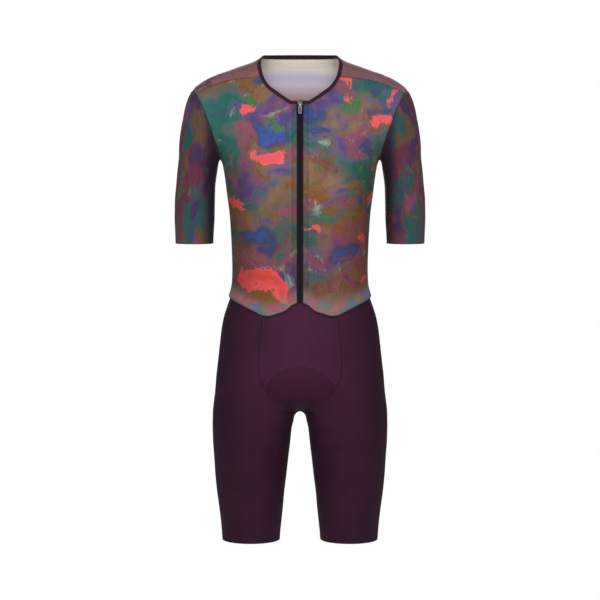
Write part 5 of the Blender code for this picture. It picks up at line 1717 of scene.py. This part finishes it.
class AEROSUIT_OT_stitching(bpy.types.Operator):
    """Sew the rows of stitches beside the seams, hems and zip"""
    bl_idname = "aerosuit.stitching"
    bl_label = "Stitching"

    def execute(self, context):
        trim, s = context.scene.aerosuit_trim, seams()
        lines = []
        for key in ("shoulder", "armhole_front", "armhole_back", "side", "underarm"):
            line = fine_line(s[key])
            lines += [beside(line, aside) for aside in JERSEY_ROWS]
        # these rows stop a few points short of the seams and the zip that they run up to
        lines.append(beside(fine_line(s["hem_front"]), HEM_ROW)[8:-2])
        lines.append(beside(fine_line(s["hem_back"]), HEM_ROW)[2:])
        heights = np.linspace(ZIP_FOOT_Z + 3, ZIP_NECK_Z - 2, 150)
        lines.append(straight([(ZIP_HALF + ZIP_ROW, z) for z in heights], -1))
        neck = fine_line(np.vstack([s["neck_front"][:-1], s["neck_back"]]), (N_NECK_FRONT,))
        lines.append(beside(neck, NECK_ROW)[3:])
        obj = sew("jersey_stitching", [raised(line, jersey_lift) for line in lines],
                  sewing_thread("spun_polyester_thread_maroon", trim.jersey_thread))
        belongs(obj, SUIT, "sleeve_knit")

        lines = []
        front = np.vstack([s["pad_seam"], s["front_seam"]])
        for line in (front, s["seat_seam"], s["inseam"], s["crotch_seam"]):
            line = fine_line(line)
            line = line[line[:, 2] < STITCHED_BELOW_Z]
            lines += [beside(line, aside) for aside in SHORTS_ROWS]
        lines.append(curve_through(seen([(x, z + RELIEF_STEP + ARCH_ROW) for x, z in PAD_ARCH])))
        obj = sew("shorts_stitching", [raised(line, shorts_lift) for line in lines],
                  sewing_thread("spun_polyester_thread_plum", trim.shorts_thread))
        belongs(obj, SUIT, "plum_shorts_knit")
        return {"FINISHED"}


# ---------------------------------------------------------------- the stage

# place, width of the square lamp, power as a share of the key light's; metres
LAMPS = {
    "front_light": ((0, -3.8, 0.5), 1.8, 1.0),
    "left_light": ((3.2, -1.6, 0.2), 1.8, 0.35),
    "right_light": ((-3.2, -1.6, 0.2), 1.8, 0.35),
    "back_light": ((0, 3.8, 0.6), 2.2, 0.9),
}
LAMP_AIM, CAMERA_AIM = (0, 0, -0.5), (0, 0, -0.476)


def aimed(name, data, place, aim):
    """A lamp or camera put at a place and turned towards another."""
    obj = link_new(name, data)
    turn = (Vector(aim) - Vector(place)).to_track_quat("-Z", "Y").to_matrix().to_4x4()
    obj.matrix_world = Matrix.Translation(place) @ turn
    return obj


class AEROSUIT_OT_stage(bpy.types.Operator):
    """Set up the floor, the soft studio light and the camera in front"""
    bl_idname = "aerosuit.stage"
    bl_label = "Stage"

    def execute(self, context):
        stage, scene = context.scene.aerosuit_stage, context.scene
        bm = bmesh.new()
        bmesh.ops.create_circle(bm, cap_ends=True, segments=96, radius=stage.floor_radius)
        mesh = bpy.data.meshes.new("studio_floor")
        bm.to_mesh(mesh)
        bm.free()
        mesh.transform(Matrix.Translation((0, 0, stage.floor_height)))
        mesh.materials.append(painted_board())
        link_new("studio_floor", mesh)

        for name, (place, width, power) in LAMPS.items():
            lamp = bpy.data.lights.new(name, "AREA")
            lamp.size, lamp.energy = width, power * stage.key_power
            aimed(name, lamp, place, LAMP_AIM)

        world = bpy.data.worlds.new("studio_surround")
        scene.world = world
        world.use_nodes = True
        tree = world.node_tree
        tree.nodes.clear()
        soft = add(tree, "ShaderNodeBackground", {"Color": linear("F4F4F6"), "Strength": 0.25})
        white = add(tree, "ShaderNodeBackground", {"Color": (1, 1, 1, 1), "Strength": 1.0})
        to_camera = add(tree, "ShaderNodeLightPath")
        both = add(tree, "ShaderNodeMixShader", {0: to_camera, 1: soft, 2: white})
        add(tree, "ShaderNodeOutputWorld", {"Surface": both})

        camera = bpy.data.cameras.new("front_camera")
        camera.lens, camera.sensor_width, camera.clip_end = 150, 36, 50
        place = Vector((0, -VIEW_DISTANCE, VIEW_HEIGHT)) * MM
        scene.camera = aimed("front_camera", camera, place, CAMERA_AIM)
        scene.view_settings.view_transform = "Standard"
        return {"FINISHED"}


class AEROSUIT_PT_pieces(bpy.types.Panel):
    """The suit's settings and the operators that make its pieces"""
    bl_label = "Cycling Aerosuit"
    bl_space_type = "VIEW_3D"
    bl_region_type = "UI"
    bl_category = "Aerosuit"

    def draw(self, context):
        for group in SETTINGS:
            box = self.layout.box()
            owner = getattr(context.scene, group)
            for name in owner.__annotations__:
                box.prop(owner, name)
        for piece in PIECES:
            self.layout.operator(piece.bl_idname)


PIECES = (AEROSUIT_OT_stage, AEROSUIT_OT_jersey_fronts, AEROSUIT_OT_jersey_back,
          AEROSUIT_OT_sleeves, AEROSUIT_OT_shorts_legs, AEROSUIT_OT_shorts_centre,
          AEROSUIT_OT_seat_pad, AEROSUIT_OT_neck_binding, AEROSUIT_OT_zip,
          AEROSUIT_OT_slider_and_pull, AEROSUIT_OT_stitching)
SETTINGS = {"aerosuit_cloth": AerosuitClothSettings, "aerosuit_print": AerosuitPrintSettings,
            "aerosuit_trim": AerosuitTrimSettings, "aerosuit_stage": AerosuitStageSettings}
CLASSES = (*SETTINGS.values(), *PIECES, AEROSUIT_PT_pieces)


def register():
    for cls in CLASSES:
        bpy.utils.register_class(cls)
    for name, cls in SETTINGS.items():
        setattr(bpy.types.Scene, name, bpy.props.PointerProperty(type=cls))


def unregister():
    for name in SETTINGS:
        delattr(bpy.types.Scene, name)
    for cls in reversed(CLASSES):
        bpy.utils.unregister_class(cls)


def main():
    register()
    for piece in PIECES:
        getattr(bpy.ops.aerosuit, piece.bl_idname.split(".")[1])()


if __name__ == "__main__":
    main()
